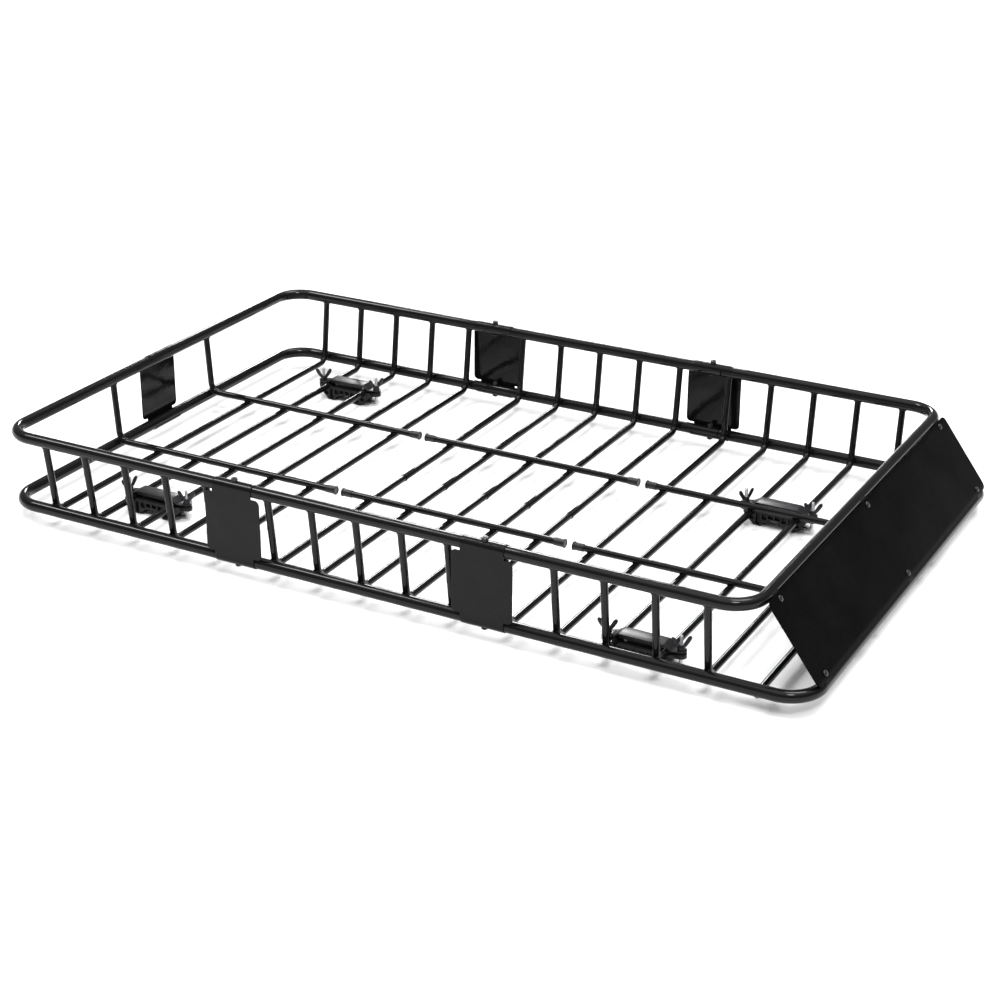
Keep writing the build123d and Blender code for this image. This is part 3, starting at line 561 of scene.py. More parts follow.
# -------------------------------------------------------------------- welds
def curve_on(rail_c, rail_axis, bar_point, bar_dir, n=44, rail_r=RAIL_R, bar_r=BAR_R, lift=0.15):
    """The closed curve where a bar's skin meets a rail's, wherever the bar's axis passes the rail's."""
    c, ax = np.asarray(rail_c, float), np.asarray(rail_axis, float)
    d = np.asarray(bar_dir, float) / np.linalg.norm(bar_dir)
    e1 = ax - d * (ax @ d); e1 /= np.linalg.norm(e1)
    e2 = np.cross(d, e1)
    p0 = np.asarray(bar_point, float) - c
    out = []
    for k in range(n):
        w = 2 * pi * k / n
        o = p0 + (bar_r + lift) * (e1 * cos(w) + e2 * sin(w))
        oo, dd = o - ax * (o @ ax), d - ax * (d @ ax)
        A, B, C = dd @ dd, 2 * oo @ dd, oo @ oo - (rail_r + lift) ** 2
        t = (-B + sqrt(max(0, B * B - 4 * A * C))) / (2 * A)
        out.append(c + o + d * t)
    return np.array(out)


def groove(centre, rail_c, axis, offset, spread=11.5):
    """The short line of a fillet weld beside a bent bar that touches a rail. centre: the bend's; axis: the rail's direction."""
    centre, rail_c, axis = (np.asarray(q, float) for q in (centre, rail_c, axis))
    v = rail_c - centre
    D = np.linalg.norm(v)
    u = v / D
    w = np.cross(axis, u)
    out = []
    for k in range(13):
        a = radians(-spread + 2 * spread * k / 12)
        ray = u * cos(a) + w * sin(a)
        inner = BAR_BEND + sqrt(BAR_R ** 2 - offset ** 2)
        outer = D * cos(a) - sqrt(max(0, RAIL_R ** 2 - (D * sin(a)) ** 2))
        out.append(centre + axis * offset + ray * (0.5 * inner + 0.5 * outer))
    return np.array(out)


m = Mesh()
k = 0
for x in X_REAR_BARS + X_MID_BARS + X_FRONT_BARS:
    for s in (-1, 1):
        top, corner = np.array([x, s * HALF_W, Z_TOP]), np.array([x, s * Y_CORNER, Z_BAR])
        k += 1
        bead(m, curve_on(top, (1, 0, 0), top, corner - top), 1.55, True, 12, 1.9, k)
        d = (top - corner) / np.linalg.norm(top - corner)
        turn = acos(float(d @ np.array([0, s, 0.0])))
        t = BAR_BEND * np.tan(turn / 2)
        bend = corner + np.array([0, -s * t, BAR_BEND])
        for side in (-1, 1):
            k += 1
            bead(m, groove(bend, (x, s * HALF_W, Z_BOT), (1, 0, 0), side * 3.5), 1.75, False, 12, 1.9, k)
for s in (-1, 1):
    k += 1
    bead(m, curve_on((X_END_BAR, s * HALF_W, Z_BOT), (1, 0, 0), (X_END_BAR, s * HALF_W, Z_BAR), (0, -s, 0)), 1.5, True, 12, 1.9, k)
for y in (-Y_FLOOR, Y_FLOOR):
    top, corner = np.array([X_REAR, y, Z_TOP]), np.array([X_TURN, y, Z_FLOOR])
    k += 1
    bead(m, curve_on(top, (0, 1, 0), top, corner - top), 1.55, True, 12, 1.9, k)
    d = (top - corner) / np.linalg.norm(top - corner)
    t = BAR_BEND * np.tan(acos(float(d @ np.array([-1, 0, 0.0]))) / 2)
    bend = corner + np.array([t, 0, BAR_BEND])
    for side in (-1, 1):
        k += 1
        bead(m, groove(bend, (X_REAR, y, Z_BOT), (0, 1, 0), side * 3.5), 1.75, False, 12, 1.9, k)
    k += 1
    bead(m, curve_on((X_FRONT, y, Z_BOT), (0, 1, 0), (X_FRONT, y, Z_FLOOR), (-1, 0, 0)), 1.4, True, 12, 1.9, k)
    for x in X_REAR_BARS + X_MID_BARS + X_FRONT_BARS + [X_END_BAR]:
        k += 1
        a = np.linspace(0, 2 * pi, 24, endpoint=False)
        bead(m, np.stack([x + 3.3 * np.cos(a), y + 3.3 * np.sin(a), np.full(24, 34.05)], 1), 1.2, True, 10, 1.7, k)
STRUT_Y = (-(Y_FLOOR + 15), Y_FLOOR + 15)
for y in STRUT_Y:
    for c, d in (((X_TOP_FRONT, y, Z_TOP), (TX, 0, TZ)), ((X_FRONT, y, Z_BOT), (-TX, 0, -TZ))):
        k += 1
        bead(m, curve_on(c, (0, 1, 0), c, d), 1.5, True, 12, 1.9, k)
piece(m.build("weld_beads", 60), "basket", (), M_WELD)

m = Mesh()
for y in STRUT_Y:
    a, b = np.array([X_TOP_FRONT + TX * 8.5, y, Z_TOP + TZ * 8.5]), np.array([X_FRONT - TX * 8.5, y, Z_BOT - TZ * 8.5])
    tube(m, densify(np.array([a, b]), 40), BAR_R, 1.0, 32, False, False)
piece(m.build("front_struts_tubes"), "basket", ["front_struts"], M_BAR)


# -------------------------------------------------------------- joint plates
def soft_box(o, width=0.28, segments=2, angle=30, name="edge"):
    b = o.modifiers.new(name, "BEVEL")
    b.width = width * MM
    b.segments = segments
    b.limit_method = "ANGLE"
    b.angle_limit = radians(angle)
    b.harden_normals = False
    return b


def finish_modifiers(o, angle=35):
    dg = bpy.context.evaluated_depsgraph_get()
    me = bpy.data.meshes.new_from_object(o.evaluated_get(dg))
    o.modifiers.clear()
    o.data = me
    tidy(me)
    shade(o, angle)
    return o


def joint_plate(name, origin, along, out, wide, seed):
    """A sheet that hooks over the top rail, runs down outside both rails and wraps under the bottom one.
    origin: the rails' centreline at z 0; along: the rail's direction; out: away from the basket."""
    g = np.random.default_rng(seed)
    along, out, up = (np.asarray(q, float) for q in (along, out, (0, 0, 1)))
    origin = np.asarray(origin, float)
    R = RI + PLATE_T / 2
    zc, hh, r = (Z_TOP + Z_BOT) / 2, PLATE_H / 2, 9.0
    prof = []                                   # (out, z, half width of the wing or None)
    for a in np.linspace(160, 0, 33):
        prof.append((R * cos(radians(a)), Z_TOP + R * sin(radians(a)), None))
    z0, z1 = zc + hh, zc - hh
    prof.append((R, (Z_TOP + z0) / 2, None))
    ang = np.linspace(0, 90, 9)
    for a in ang:
        prof.append((R, z0 - r * (1 - cos(radians(a))), wide / 2 - r + r * sin(radians(a))))
    for q in np.linspace(z0 - r, z1 + r, 20)[1:-1]:
        prof.append((R, q, wide / 2))
    for a in ang[::-1]:
        prof.append((R, z1 + r * (1 - cos(radians(a))), wide / 2 - r + r * sin(radians(a))))
    prof.append((R, (Z_BOT + z1) / 2, None))
    for a in np.linspace(0, -160, 33):
        prof.append((R * cos(radians(a)), Z_BOT + R * sin(radians(a)), None))

    ph = g.uniform(0, 6, 4)

    def wave(x, z):
        """The sheet isn't quite flat between its hooks."""
        e = max(0.0, 1 - ((z - zc) / (hh + 4)) ** 2)
        return e * (0.32 * cos(z / 31 + ph[0]) + 0.22 * sin(x / 19 + ph[1]) + 0.12 * sin(x / 11 + z / 17 + ph[2]) - 0.25 * (x / 58) ** 2)

    half = SLEEVE_W / 2
    cols = np.linspace(-half, half, 25)
    m = Mesh()
    rows = [[origin + along * x + out * (o + (wave(x, z) if abs(o - R) < 1e-6 else 0)) + up * z for x in cols] for o, z, w in prof]
    m.grid(rows, wrap=False)
    wings = [(o, z, w) for o, z, w in prof if w]
    for s in (-1, 1):
        rows = [[origin + along * x + out * (o + wave(x, z)) + up * z for x in s * np.linspace(half, w, 7)] for o, z, w in wings]
        m.grid(rows, wrap=False)
    o = m.build(name)
    bm = bmesh.new()
    bm.from_mesh(o.data)
    bmesh.ops.remove_doubles(bm, verts=bm.verts, dist=1e-5)
    bmesh.ops.recalc_face_normals(bm, faces=bm.faces)
    # the sheet's normals all point out of the basket
    ref = max(bm.faces, key=lambda f: f.calc_center_median().dot(Vector(out)))
    if ref.normal.dot(Vector(out)) < 0:
        bmesh.ops.reverse_faces(bm, faces=bm.faces)
    bm.to_mesh(o.data)
    bm.free()
    s = o.modifiers.new("sheet", "SOLIDIFY")
    s.thickness = PLATE_T * MM
    s.offset = 0
    s.use_even_offset = True
    soft_box(o, 0.3, 2, 50)
    return finish_modifiers(o, 40)


for i, (name, xc, s) in enumerate((("joint_plate_rear_near", BOLT_X_REAR, -1), ("joint_plate_rear_far", BOLT_X_REAR, 1),
                                   ("joint_plate_front_near", BOLT_X_FRONT, -1), ("joint_plate_front_far", BOLT_X_FRONT, 1))):
    piece(joint_plate(name + "_sheet", (xc, s * HALF_W, 0), (1, 0, 0), (0, s, 0), PLATE_W, 11 + i), "basket", [name], M_PLATE)
piece(joint_plate("joint_plate_rear_end_sheet", (X_REAR, 0, 0), (0, 1, 0), (-1, 0, 0), PLATE_W - 3, 21), "basket", ["joint_plate_rear_end"], M_PLATE)


# -------------------------------------------------------- bolts through rails
def thread(mesh, origin, axis, r, pitch, z0, z1, depth=None, seg=28, point=0.8):
    """A rolled thread from z0 to z1 along axis, with a chamfered point at z1."""
    axis = np.asarray(axis, float)
    up = np.array([0, 0, 1.0]) if abs(axis[2]) < 0.9 else np.array([1.0, 0, 0])
    e1 = np.cross(axis, up); e1 /= np.linalg.norm(e1)
    e2 = np.cross(axis, e1)
    depth = depth or 0.54 * pitch
    a = np.linspace(0, 2 * pi, seg, endpoint=False)
    n = int(abs(z1 - z0) / pitch * 8)
    rows = []
    for k in range(n + 1):
        z = z0 + (z1 - z0) * k / n
        ph = (abs(z - z0) / pitch - a / (2 * pi)) % 1.0
        tri = np.abs(ph * 2 - 1)
        crest = np.clip((tri - 0.12) / 0.76, 0, 1)
        fade = min(1.0, abs(z - z0) / (1.2 * pitch))
        rr = r - depth * (1 - crest) * fade
        end = abs(z1 - z)
        if end < point:
            rr = np.minimum(rr, r - (point - end) * 0.9)
        rows.append(np.asarray(origin, float) + axis * z + rr[:, None] * (e1 * np.cos(a)[:, None] + e2 * np.sin(a)[:, None]))
    mesh.grid(np.array(rows), cap_start=True, cap_end=True)


BOLTS = [(x, y, z) for x in (BOLT_X_REAR, BOLT_X_FRONT) for y in (-HALF_W, HALF_W) for z in (Z_TOP, Z_BOT)]
heads, washers, nuts = Mesh(), Mesh(), Mesh()
for x, y, z in BOLTS:
    low = z - (RAIL_R if z == Z_TOP else RO)
    seat = z + (RO if z == Z_TOP else RAIL_R)
    prof = [(0.3, -4.0)] + [(6.2 * sin(radians(a)), -1.15 - 2.85 * cos(radians(a))) for a in (10, 20, 30, 40, 50, 60, 70, 80, 88)] + [(6.2, -0.5), (6.1, -0.2), (5.8, -0.06), (3.0, -0.06), (3.0, 4.0), (0.3, 4.0)]
    lathe(heads, prof, (x, y, low), (0, 0, 1), 40)
    thread(heads, (x, y, low), (0, 0, 1), 3.0, 1.0, 1.0, seat - low + 7.4, seg=24)
    lathe(washers, [(3.2, 0), (5.95, 0), (6.12, 0.06), (6.2, 0.25), (6.2, 1.0), (6.12, 1.2), (5.95, 1.25), (3.2, 1.25)], (x, y, seat), (0, 0, 1), 40)
    lathe(nuts, [(3.0, 0), (5.1, 0), (5.35, 0.15), (5.8, 0.7), (5.8, 4.3), (5.35, 4.85), (5.1, 5.0), (3.5, 5.0), (3.0, 4.6)], (x, y, seat + 1.3), (0, 0, 1), 72, hexr=5.0)
piece(heads.build("joint_bolts_turned"), "basket", ["joint_bolts"], M_BLACK)
piece(washers.build("joint_washers_turned"), "basket", ["joint_washers"], M_BLACK)
piece(nuts.build("joint_nuts_turned"), "basket", ["joint_nuts"], M_BLACK)

# ------------------------------------------------------------------ fairing
def on_slope(s, y, n):
    """s down the slope from the top rail's centre, y across, n out of the slope."""
    return np.array([X_TOP_FRONT + TX * s + NX * n, y, Z_TOP + TZ * s + NZ * n])


def fairing():
    s0, s1, w, r = 5.0, 5.0 + FAIR_H, FAIR_W / 2, 12.0
    ys = [-w + r * (1 - cos(radians(a))) for a in np.linspace(0, 90, 13)]
    ys = ys + list(np.linspace(-w + r, w - r, 92)[1:-1]) + [-y for y in ys[::-1]]
    g = np.random.default_rng(3)
    ph = g.uniform(0, 6, 5)
    m = Mesh()
    rows_top, rows_low = [], []
    for y in ys:
        e = max(0.0, abs(y) - (w - r))
        inset = r - sqrt(max(0, r * r - e * e))
        line = np.linspace(s0 + inset, s1 - inset, 19)
        hold = 1.0
        # the sheet lies true along its top and bottom edges, and bows a little between them
        bow = [(0.35 * sin(y / 131 + ph[0]) + 0.25 * sin(y / 74 + ph[1])) * sin(pi * min(1, max(0, (q - s0) / FAIR_H))) * hold for q in line]
        n0 = RAIL_R + 0.1
        rows_low.append([on_slope(q, y, n0 + b * 0.5) for q, b in zip(line, bow)])
        rows_top.append([on_slope(q, y, n0 + FAIR_T - 0.05 + b) for q, b in zip(line, bow)])
    top, low = np.array(rows_top), np.array(rows_low)
    a, b = top.shape[:2]
    verts = np.concatenate([top.reshape(-1, 3), low.reshape(-1, 3)])
    N = a * b
    faces = []
    for i in range(a - 1):
        for j in range(b - 1):
            q = (i * b + j, i * b + j + 1, (i + 1) * b + j + 1, (i + 1) * b + j)
            faces.append(q)
            faces.append(tuple(N + t for t in q[::-1]))
    rim = [(i, 0) for i in range(a)] + [(a - 1, j) for j in range(1, b)] + [(i, b - 1) for i in range(a - 2, -1, -1)] + [(0, j) for j in range(b - 2, 0, -1)]
    ids = [i * b + j for i, j in rim]
    for p, q in zip(ids, ids[1:] + ids[:1]):
        faces.append((p, q, N + q, N + p))
    m.add(verts, faces)
    o = m.build("fairing_panel_sheet")
    soft_box(o, 0.35, 3, 50)
    return finish_modifiers(o, 40)


piece(fairing(), "basket", ["fairing_panel"], M_FAIR)

SPOTS = [(s, y) for s in (15.3, 154.5) for y in (-410.9, 0.0, 410.9)]
FAIR_N = (NX, 0, NZ)


def cutter_cross(origin, axis, size, depth, name="cutter"):
    """A tapered cross for a screw's recess."""
    m = Mesh()
    axis = np.asarray(axis, float)
    e1 = np.array([0, 1.0, 0]); e2 = np.cross(axis, e1)
    out = [(0.16, 1), (-0.16, 1), (-0.16, 0.16), (-1, 0.16), (-1, -0.16), (-0.16, -0.16), (-0.16, -1), (0.16, -1), (0.16, -0.16), (1, -0.16), (1, 0.16), (0.16, 0.16)]
    rows = []
    for h, k in ((1.0, 1.05), (0, 1.0), (-depth, 0.45)):
        ring = []
        for a, b in out:
            w = 0.16 * size
            aa = a * size * (k if abs(a) == 1 else 1) ; bb = b * size * (k if abs(b) == 1 else 1)
            ring.append(np.asarray(origin, float) + e1 * aa + e2 * bb + axis * h)
        rows.append(ring)
    m.grid(np.array(rows), cap_start=True, cap_end=True)
    return m.build(name)


def boolean(o, cutter, op="DIFFERENCE"):
    b = o.modifiers.new("cut", "BOOLEAN")
    b.operation = op
    b.solver = "EXACT"
    b.object = cutter
    bpy.context.view_layer.update()
    finish_modifiers(o)
    me = cutter.data
    bpy.data.objects.remove(cutter)
    bpy.data.meshes.remove(me)
    return o


m = Mesh()
base = RAIL_R + FAIR_T + 0.1
for s, y in SPOTS:
    prof = [(0.3, 3.3)] + [(5.6 * sin(radians(a)), 0.55 + 2.75 * cos(radians(a)) ** 0.9) for a in (12, 24, 36, 48, 58, 68, 76, 83, 89)] + [(5.6, 0.35), (5.5, 0.1), (5.2, 0.0), (2.5, 0.0), (2.5, -3.0), (0.3, -3.0)]
    lathe(m, prof, on_slope(s, y, base), FAIR_N, 40)
screws = m.build("fairing_screws_turned")
for s, y in SPOTS:
    boolean(screws, cutter_cross(on_slope(s, y, base + 3.0), FAIR_N, 2.6, 2.0))
m = Mesh()
m.add(np.zeros((0, 3)), [])
for s, y in SPOTS:
    thread(m, on_slope(s, y, 0), (-NX, 0, -NZ), 2.5, 0.8, -9.5, -1.5, seg=24)
shanks = m.build("fairing_screw_shanks")
piece(screws, "basket", ["fairing_screws"], M_BLACK)
piece(shanks, "basket", (), M_BLACK)
m = Mesh()
for s, y in SPOTS:
    lathe(m, [(2.5, 0), (4.1, 0), (4.35, -0.15), (4.65, -0.5), (4.65, -3.5), (4.35, -3.85), (4.1, -4.0), (2.9, -4.0), (2.5, -3.7)], on_slope(s, y, RAIL_R - 2.55), FAIR_N, 72, hexr=4.0)
piece(m.build("fairing_nuts_turned"), "basket", ["fairing_nuts"], M_BLACK)

# -------------------------------------------------------------------- clamps
# Every clamp is the same, so each piece is made once about the clamp's middle and placed four times.
HALF_PITCH = PITCH / 2


def prism(profile, y0, y1, name):
    """A profile in X and Z, drawn along Y, as one clean n-gon at each end."""
    bm = bmesh.new()
    a = [bm.verts.new((x * MM, y0 * MM, z * MM)) for x, z in profile]
    b = [bm.verts.new((x * MM, y1 * MM, z * MM)) for x, z in profile]
    bm.faces.new(a)
    bm.faces.new(b[::-1])
    n = len(a)
    for i in range(n):
        bm.faces.new((a[i], b[i], b[(i + 1) % n], a[(i + 1) % n]))
    bmesh.ops.recalc_face_normals(bm, faces=bm.faces)
    me = bpy.data.meshes.new(name)
    bm.to_mesh(me)
    bm.free()
    o = bpy.data.objects.new(name, me)
    bpy.context.scene.collection.objects.link(o)
    return o


def boxes(spec, name="cutter"):
    """Boxes as (x0, x1, y0, y1, z0, z1), none touching another."""
    m = Mesh()
    for x0, x1, y0, y1, z0, z1 in spec:
        v = [(x, y, z) for x in (x0, x1) for y in (y0, y1) for z in (z0, z1)]
        m.add(v, [(0, 1, 3, 2), (4, 6, 7, 5), (0, 4, 5, 1), (2, 3, 7, 6), (0, 2, 6, 4), (1, 5, 7, 3)])
    return m.build(name)


def rods(spots, r, z0, z1, seg=40, name="cutter"):
    m = Mesh()
    for x, y in spots:
        a = np.linspace(0, 2 * pi, seg, endpoint=False)
        m.grid([[(x + r * cos(q), y + r * sin(q), z) for q in a] for z in (z0, z1)], cap_start=True, cap_end=True)
    return m.build(name)


def arc(cx, cz, r, a0, a1, n):
    return [(cx + r * cos(radians(a)), cz + r * sin(radians(a))) for a in np.linspace(a0, a1, n)]


def make_saddle():
    notch = BAR_R + 0.3
    # the arch between the feet is one arc through (26, 0), (0, 15), (-26, 0)
    R = (26.0 ** 2 + 15.0 ** 2) / 30.0
    a = degrees_of(asin(26.0 / R))
    arch = arc(0, 15.0 - R, R, 90 - a, 90 + a, 29)
    prof = [(-26.0, 0), (-40, 0), (-62, 22), (-62, 28)]
    prof += [(x, z) for x, z in arc(-HALF_PITCH, Z_BAR, notch, 180, 360, 19)]
    prof += [(x, z) for x, z in arc(HALF_PITCH, Z_BAR, notch, 180, 360, 19)]
    prof += [(62, 28), (62, 22), (40, 0), (26.0, 0)] + arch[1:-1]
    o = prism(prof, -24, 24, "saddle")
    pockets = []
    for y0, y1 in ((-25, -18), (18, 25)):
        for x0, x1, z0, z1 in ((-12, -1.5, 17.8, 25.5), (1.5, 12, 17.8, 25.5), (-24.5, -15, 14.5, 25.5), (15, 24.5, 14.5, 25.5),
                               (-36.5, -28.5, 3, 25.5), (28.5, 36.5, 3, 25.5), (-49.5, -41, 11.5, 18.5), (41, 49.5, 11.5, 18.5)):
            pockets.append((x0, x1, y0, y1, z0, z1))
    boolean(o, boxes(pockets))
    # pads that stand under the plate's ears
    for e in (-1, 1):
        ring = [(e * 56.0, -9.99), (e * 56.0, 9.99)] + [(e * (67 + 9.99 * cos(radians(q))), 9.99 * sin(radians(q))) for q in np.linspace(90, -90, 21)]
        pad = Mesh()
        pad.grid([[(x, y, z) for x, y in ring] for z in (20.01, 27.99)], cap_start=True, cap_end=True)
        pad = pad.build("pad")
        tidy(pad.data)
        boolean(o, pad, "UNION")
    boolean(o, boxes([(-85, 85, -3.7, 3.7, -1, 7.2)]))
    boolean(o, rods(((-67, 0), (67, 0)), 3.7, 3, 33))
    soft_box(o, 0.55, 3, 38)
    # rubber strips' grooves across the soles, so that the feet don't slip
    finish_modifiers(o, 35)
    boolean(o, boxes([(sx * q - 0.6, sx * q + 0.6, y0, y1, -1, 0.7) for sx in (-1, 1) for q in (29.5, 33.0, 36.5) for y0, y1 in ((-21, -6), (6, 21))]))
    return o


def degrees_of(a):
    return a * 180 / pi


def make_plate():
    prof = [(-80, 34.0), (-56.1, 34.0), (-54.3, 34.4), (-53.1, 35.1), (-42.3, 41.5), (-41.1, 42.2), (-39.3, 42.5),
            (39.3, 42.5), (41.1, 42.2), (42.3, 41.5), (53.1, 35.1), (54.3, 34.4), (56.1, 34.0), (80, 34.0),
            (80, 31.4), (55.3, 31.4), (53.5, 31.8), (52.3, 32.5), (41.3, 39.2), (40.3, 39.7), (38.7, 39.9),
            (-38.7, 39.9), (-40.3, 39.7), (-41.3, 39.2), (-52.3, 32.5), (-53.5, 31.8), (-55.3, 31.4), (-80, 31.4)]
    o = prism(prof, -15, 15, "plate")
    for y in (-1, 1):
        f = prism([(-39.5, 35.1), (39.5, 35.1), (39.5, 40.3), (-39.5, 40.3)], min(y * 12.5, y * 14.99), max(y * 12.5, y * 14.99), "flange")
        boolean(o, f, "UNION")
    # round ends in plan
    m = Mesh()
    ring = [(54, -14.98), (61, -11.9)] + [(67 + 10 * cos(radians(q)), 10 * sin(radians(q))) for q in np.linspace(-90, 90, 25)] + [(61, 11.9), (54, 14.98)]
    ring += [(-x, -y) for x, y in ring]
    m.grid([[(x, y, z) for x, y in ring] for z in (20, 60)], cap_start=True, cap_end=True)
    boolean(o, m.build("plan"), "INTERSECT")
    boolean(o, rods(((-67, 0), (67, 0)), 3.3, 20, 60))
    soft_box(o, 0.5, 3, 40)
    return finish_modifiers(o, 35)


def make_u_bolt():
    m = Mesh()
    path = densify(fillet([(-67, 0, 29.5), (-67, 0, 3.4), (67, 0, 3.4), (67, 0, 29.5)], 9.0, 4), 12)
    m.grid(sweep(path, 3.0, 32), cap_start=True, cap_end=True)
    for x in (-67, 67):
        thread(m, (x, 0, 0), (0, 0, 1), 3.0, 1.0, 28.5, 60.0, depth=0.42, seg=24)
    return m.build("u_bolt", 50)


def make_washers():
    m = Mesh()
    for x in (-67, 67):
        lathe(m, [(3.3, 34.02), (7.2, 34.02), (7.42, 34.1), (7.5, 34.3), (7.5, 34.95), (7.42, 35.12), (7.2, 35.2), (3.5, 35.2), (3.3, 35.05)], (x, 0, 0), (0, 0, 1), 48)
    return m.build("washers")


def make_wing_nut():
    """A cast nut: a tapered boss with two wings that curve up and out, run together with soft fillets."""
    m = Mesh()
    prof = [(3.08, 0.0), (6.2, 0.0), (6.55, 0.15), (6.7, 0.6), (6.65, 2.2), (6.1, 5.4), (5.6, 7.6), (5.3, 8.15), (4.8, 8.4), (3.08, 8.4)]
    a = np.linspace(0, 2 * pi, 64, endpoint=False)
    rows = [[(r * cos(q), r * sin(q), z) for q in a] for r, z in prof]
    rows.append(rows[0])
    m.grid(rows)
    #        r,    z,   across the wing, through it
    spine = [(4.4, 4.6, 3.3, 2.3), (6.4, 6.4, 3.5, 2.1), (8.2, 9.0, 3.7, 1.95), (10.0, 12.0, 3.9, 1.9), (11.8, 15.0, 4.0, 1.95),
             (13.3, 17.6, 3.95, 2.0), (14.2, 19.4, 3.6, 2.0), (14.8, 20.9, 2.9, 1.8), (15.2, 22.1, 1.9, 1.4), (15.4, 22.9, 0.5, 0.5)]
    s = np.array(spine)
    t = np.linspace(0, len(s) - 1, 46)
    s = np.stack([np.interp(t, np.arange(len(s)), s[:, k]) for k in range(4)], 1)
    for k in range(3):
        s[1:-1] = 0.25 * s[:-2] + 0.5 * s[1:-1] + 0.25 * s[2:]
    d = np.gradient(s[:, :2], axis=0)
    d /= np.linalg.norm(d, axis=1)[:, None]
    for side in (-1, 1):
        rows = []
        for (r, z, w, h), (dr, dz) in zip(s, d):
            q = np.linspace(0, 2 * pi, 36, endpoint=False)
            cr, ct = np.sign(np.cos(q)) * np.abs(np.cos(q)) ** 0.8 * w, np.sign(np.sin(q)) * np.abs(np.sin(q)) ** 0.8 * h
            rows.append(np.stack([side * (r + dz * cr), ct, z - dr * cr], 1))
        m.grid(rows, cap_start=True, cap_end=True)
    o = m.build("wing_nut")
    rm = o.modifiers.new("cast", "REMESH")
    rm.mode = "VOXEL"
    rm.voxel_size = 0.34 * MM
    rm.adaptivity = 0.0
    sm = o.modifiers.new("soft", "SMOOTH")
    sm.factor = 0.5
    sm.iterations = 5
    finish_modifiers(o, 60)
    # the smoothing eats a little of the bore, so it is cut again to its size
    boolean(o, rods(((0, 0),), 3.06, -2, 12, 48))
    shade(o, 45)
    return o


def copy_of(o, name, x, y, z=0.0, turn=0.0):
    c = bpy.data.objects.new(name, o.data)
    bpy.context.scene.collection.objects.link(c)
    c.location = (x * MM, y * MM, z * MM)
    c.rotation_euler = (0, 0, radians(turn))
    return c


masters = {"saddle": make_saddle(), "plate": make_plate(), "u_bolt": make_u_bolt(), "washers": make_washers(), "wing_nut": make_wing_nut()}
for key, mat in (("saddle", M_SADDLE), ("plate", M_CLAMP), ("u_bolt", M_ZINC), ("washers", M_BLACK), ("wing_nut", M_BLACK)):
    masters[key].data.materials.clear()
    masters[key].data.materials.append(mat)
for spot, yc in CLAMP_Y.items():
    xc = CLAMP_X[spot.split("_")[0]]
    piece(copy_of(masters["saddle"], f"saddle_{spot}", xc, yc), f"clamp_{spot}", [f"clamp_saddle_{spot}"], None)
    piece(copy_of(masters["plate"], f"plate_{spot}", xc, yc), f"clamp_{spot}", [f"clamp_plate_{spot}"], None)
    piece(copy_of(masters["washers"], f"washers_{spot}", xc, yc), f"clamp_{spot}", [f"clamp_washers_{spot}"], None)
    piece(copy_of(masters["u_bolt"], f"u_rod_{spot}", xc, yc), f"u_bolt_{spot}_body", [f"u_bolt_{spot}"], None)
    for tag, xs, turn in (("rear", -67, NUT_TURN[spot][0]), ("front", 67, NUT_TURN[spot][1])):
        piece(copy_of(masters["wing_nut"], f"winged_nut_{tag}_{spot}", xc + xs, yc, 35.3, turn), f"wing_nut_{tag}_{spot}_body", [f"wing_nut_{tag}_{spot}"], None)
for o in masters.values():
    bpy.data.objects.remove(o)

# The fairing's tabs stay as the CAD has them, with the bars' paint.
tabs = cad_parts["fairing_tabs"]
tabs.data.materials.clear()
tabs.data.materials.append(M_BAR)

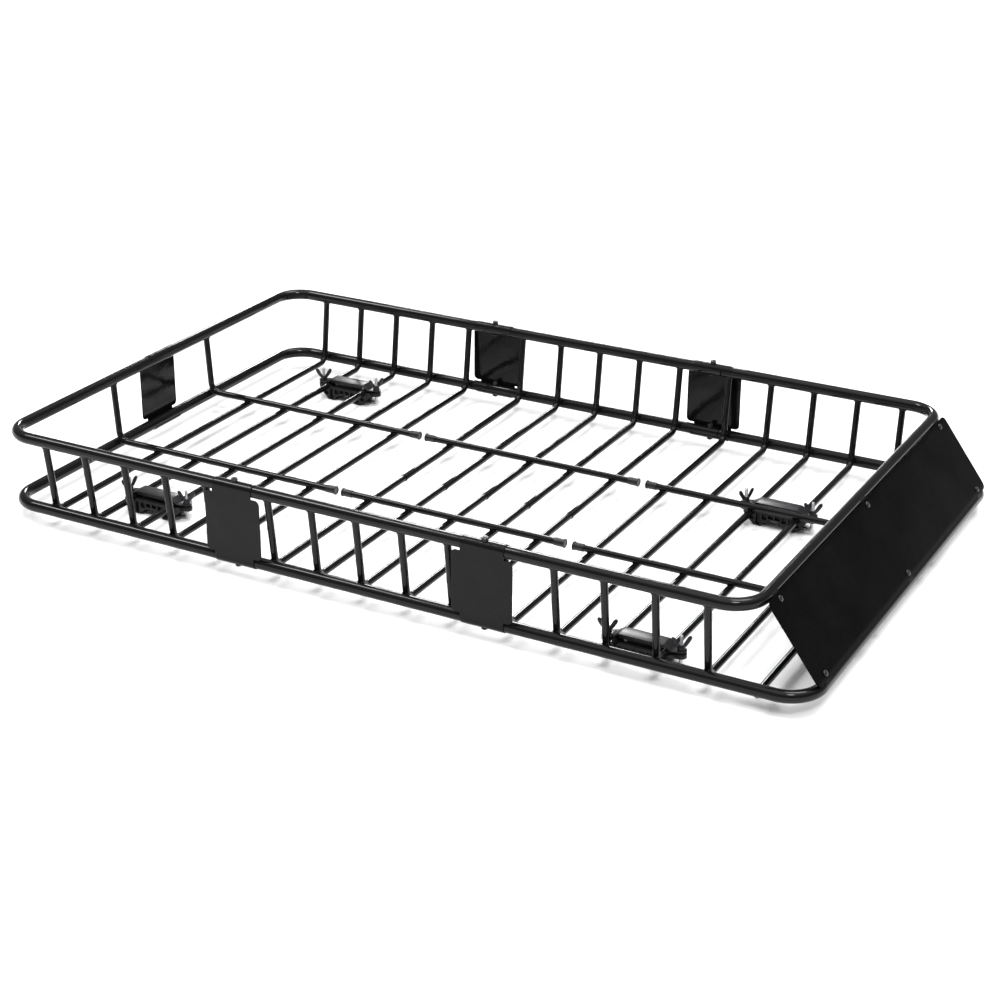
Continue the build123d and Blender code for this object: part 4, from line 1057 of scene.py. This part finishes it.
# -------------------------------------------------------------------- studio
def studio():
    me = bpy.data.meshes.new("floor")
    s = 40.0
    me.from_pydata([(-s, -s, 0), (s, -s, 0), (s, s, 0), (-s, s, 0)], [], [(0, 1, 2, 3)])
    floor = bpy.data.objects.new("floor", me)
    bpy.context.scene.collection.objects.link(floor)
    m, nt, bsdf = new_material("pale_floor")
    geo = nt.nodes.new("ShaderNodeTexCoord").outputs["Object"]
    n = noise(nt, 1.4, 3, 0.5, geo)
    nt.links.new(mix_rgb(nt, n, (0.94, 0.94, 0.945), (0.955, 0.955, 0.955)), bsdf.inputs["Base Color"])
    bsdf.inputs["Roughness"].default_value = 0.9
    bsdf.inputs["Specular IOR Level"].default_value = 0.1
    me.materials.append(m)
    floor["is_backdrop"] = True

    # A white room: bright low walls, dimmer upper walls, and a broad lamp overhead.
    w = bpy.data.worlds.new("studio")
    bpy.context.scene.world = w
    w.use_nodes = True
    wt = w.node_tree
    bg = wt.nodes["Background"]
    around = wt.nodes.new("ShaderNodeTexCoord").outputs["Generated"]
    sep = wt.nodes.new("ShaderNodeSeparateXYZ")
    wt.links.new(around, sep.inputs[0])
    ramp = wt.nodes.new("ShaderNodeValToRGB")
    stops = ((0.0, 0.95), (0.06, 0.90), (0.11, 0.16), (0.58, 0.14), (0.78, 0.5), (0.88, 0.95))
    el = ramp.color_ramp.elements
    while len(el) < len(stops):
        el.new(0.5)
    for e, (p, v) in zip(el, stops):
        e.position = p
        e.color = (v, v, v, 1)
    wt.links.new(sep.outputs["Z"], ramp.inputs["Fac"])
    wt.links.new(ramp.outputs["Color"], bg.inputs["Color"])
    bg.inputs["Strength"].default_value = 2.0

    def sun(name, direction, power, angle):
        l = bpy.data.lights.new(name, "SUN")
        l.energy = power
        l.angle = radians(angle)
        o = bpy.data.objects.new(name, l)
        o.rotation_euler = Vector(direction).to_track_quat("-Z", "Y").to_euler()
        bpy.context.scene.collection.objects.link(o)

    sun("key", (-0.30, 0.42, -0.86), 1.1, 14)
    sun("fill", (0.55, 0.10, -0.82), 1.0, 14)
    sun("back", (0.435, -0.803, -0.45), 0.9, 9)
    sun("top", (-0.1, -0.25, -1.0), 1.3, 24)
    bpy.context.scene.view_settings.view_transform = "Standard"
    bpy.context.scene.view_settings.look = "None"


studio()

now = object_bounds()


def plain(b):
    if isinstance(b, dict):
        return {str(k): plain(v) for k, v in b.items()}
    if hasattr(b, "__len__") and not isinstance(b, str):
        return [plain(v) for v in b]
    return float(b)


{"cad": plain(CAD_BOX), "visual": plain(now)}
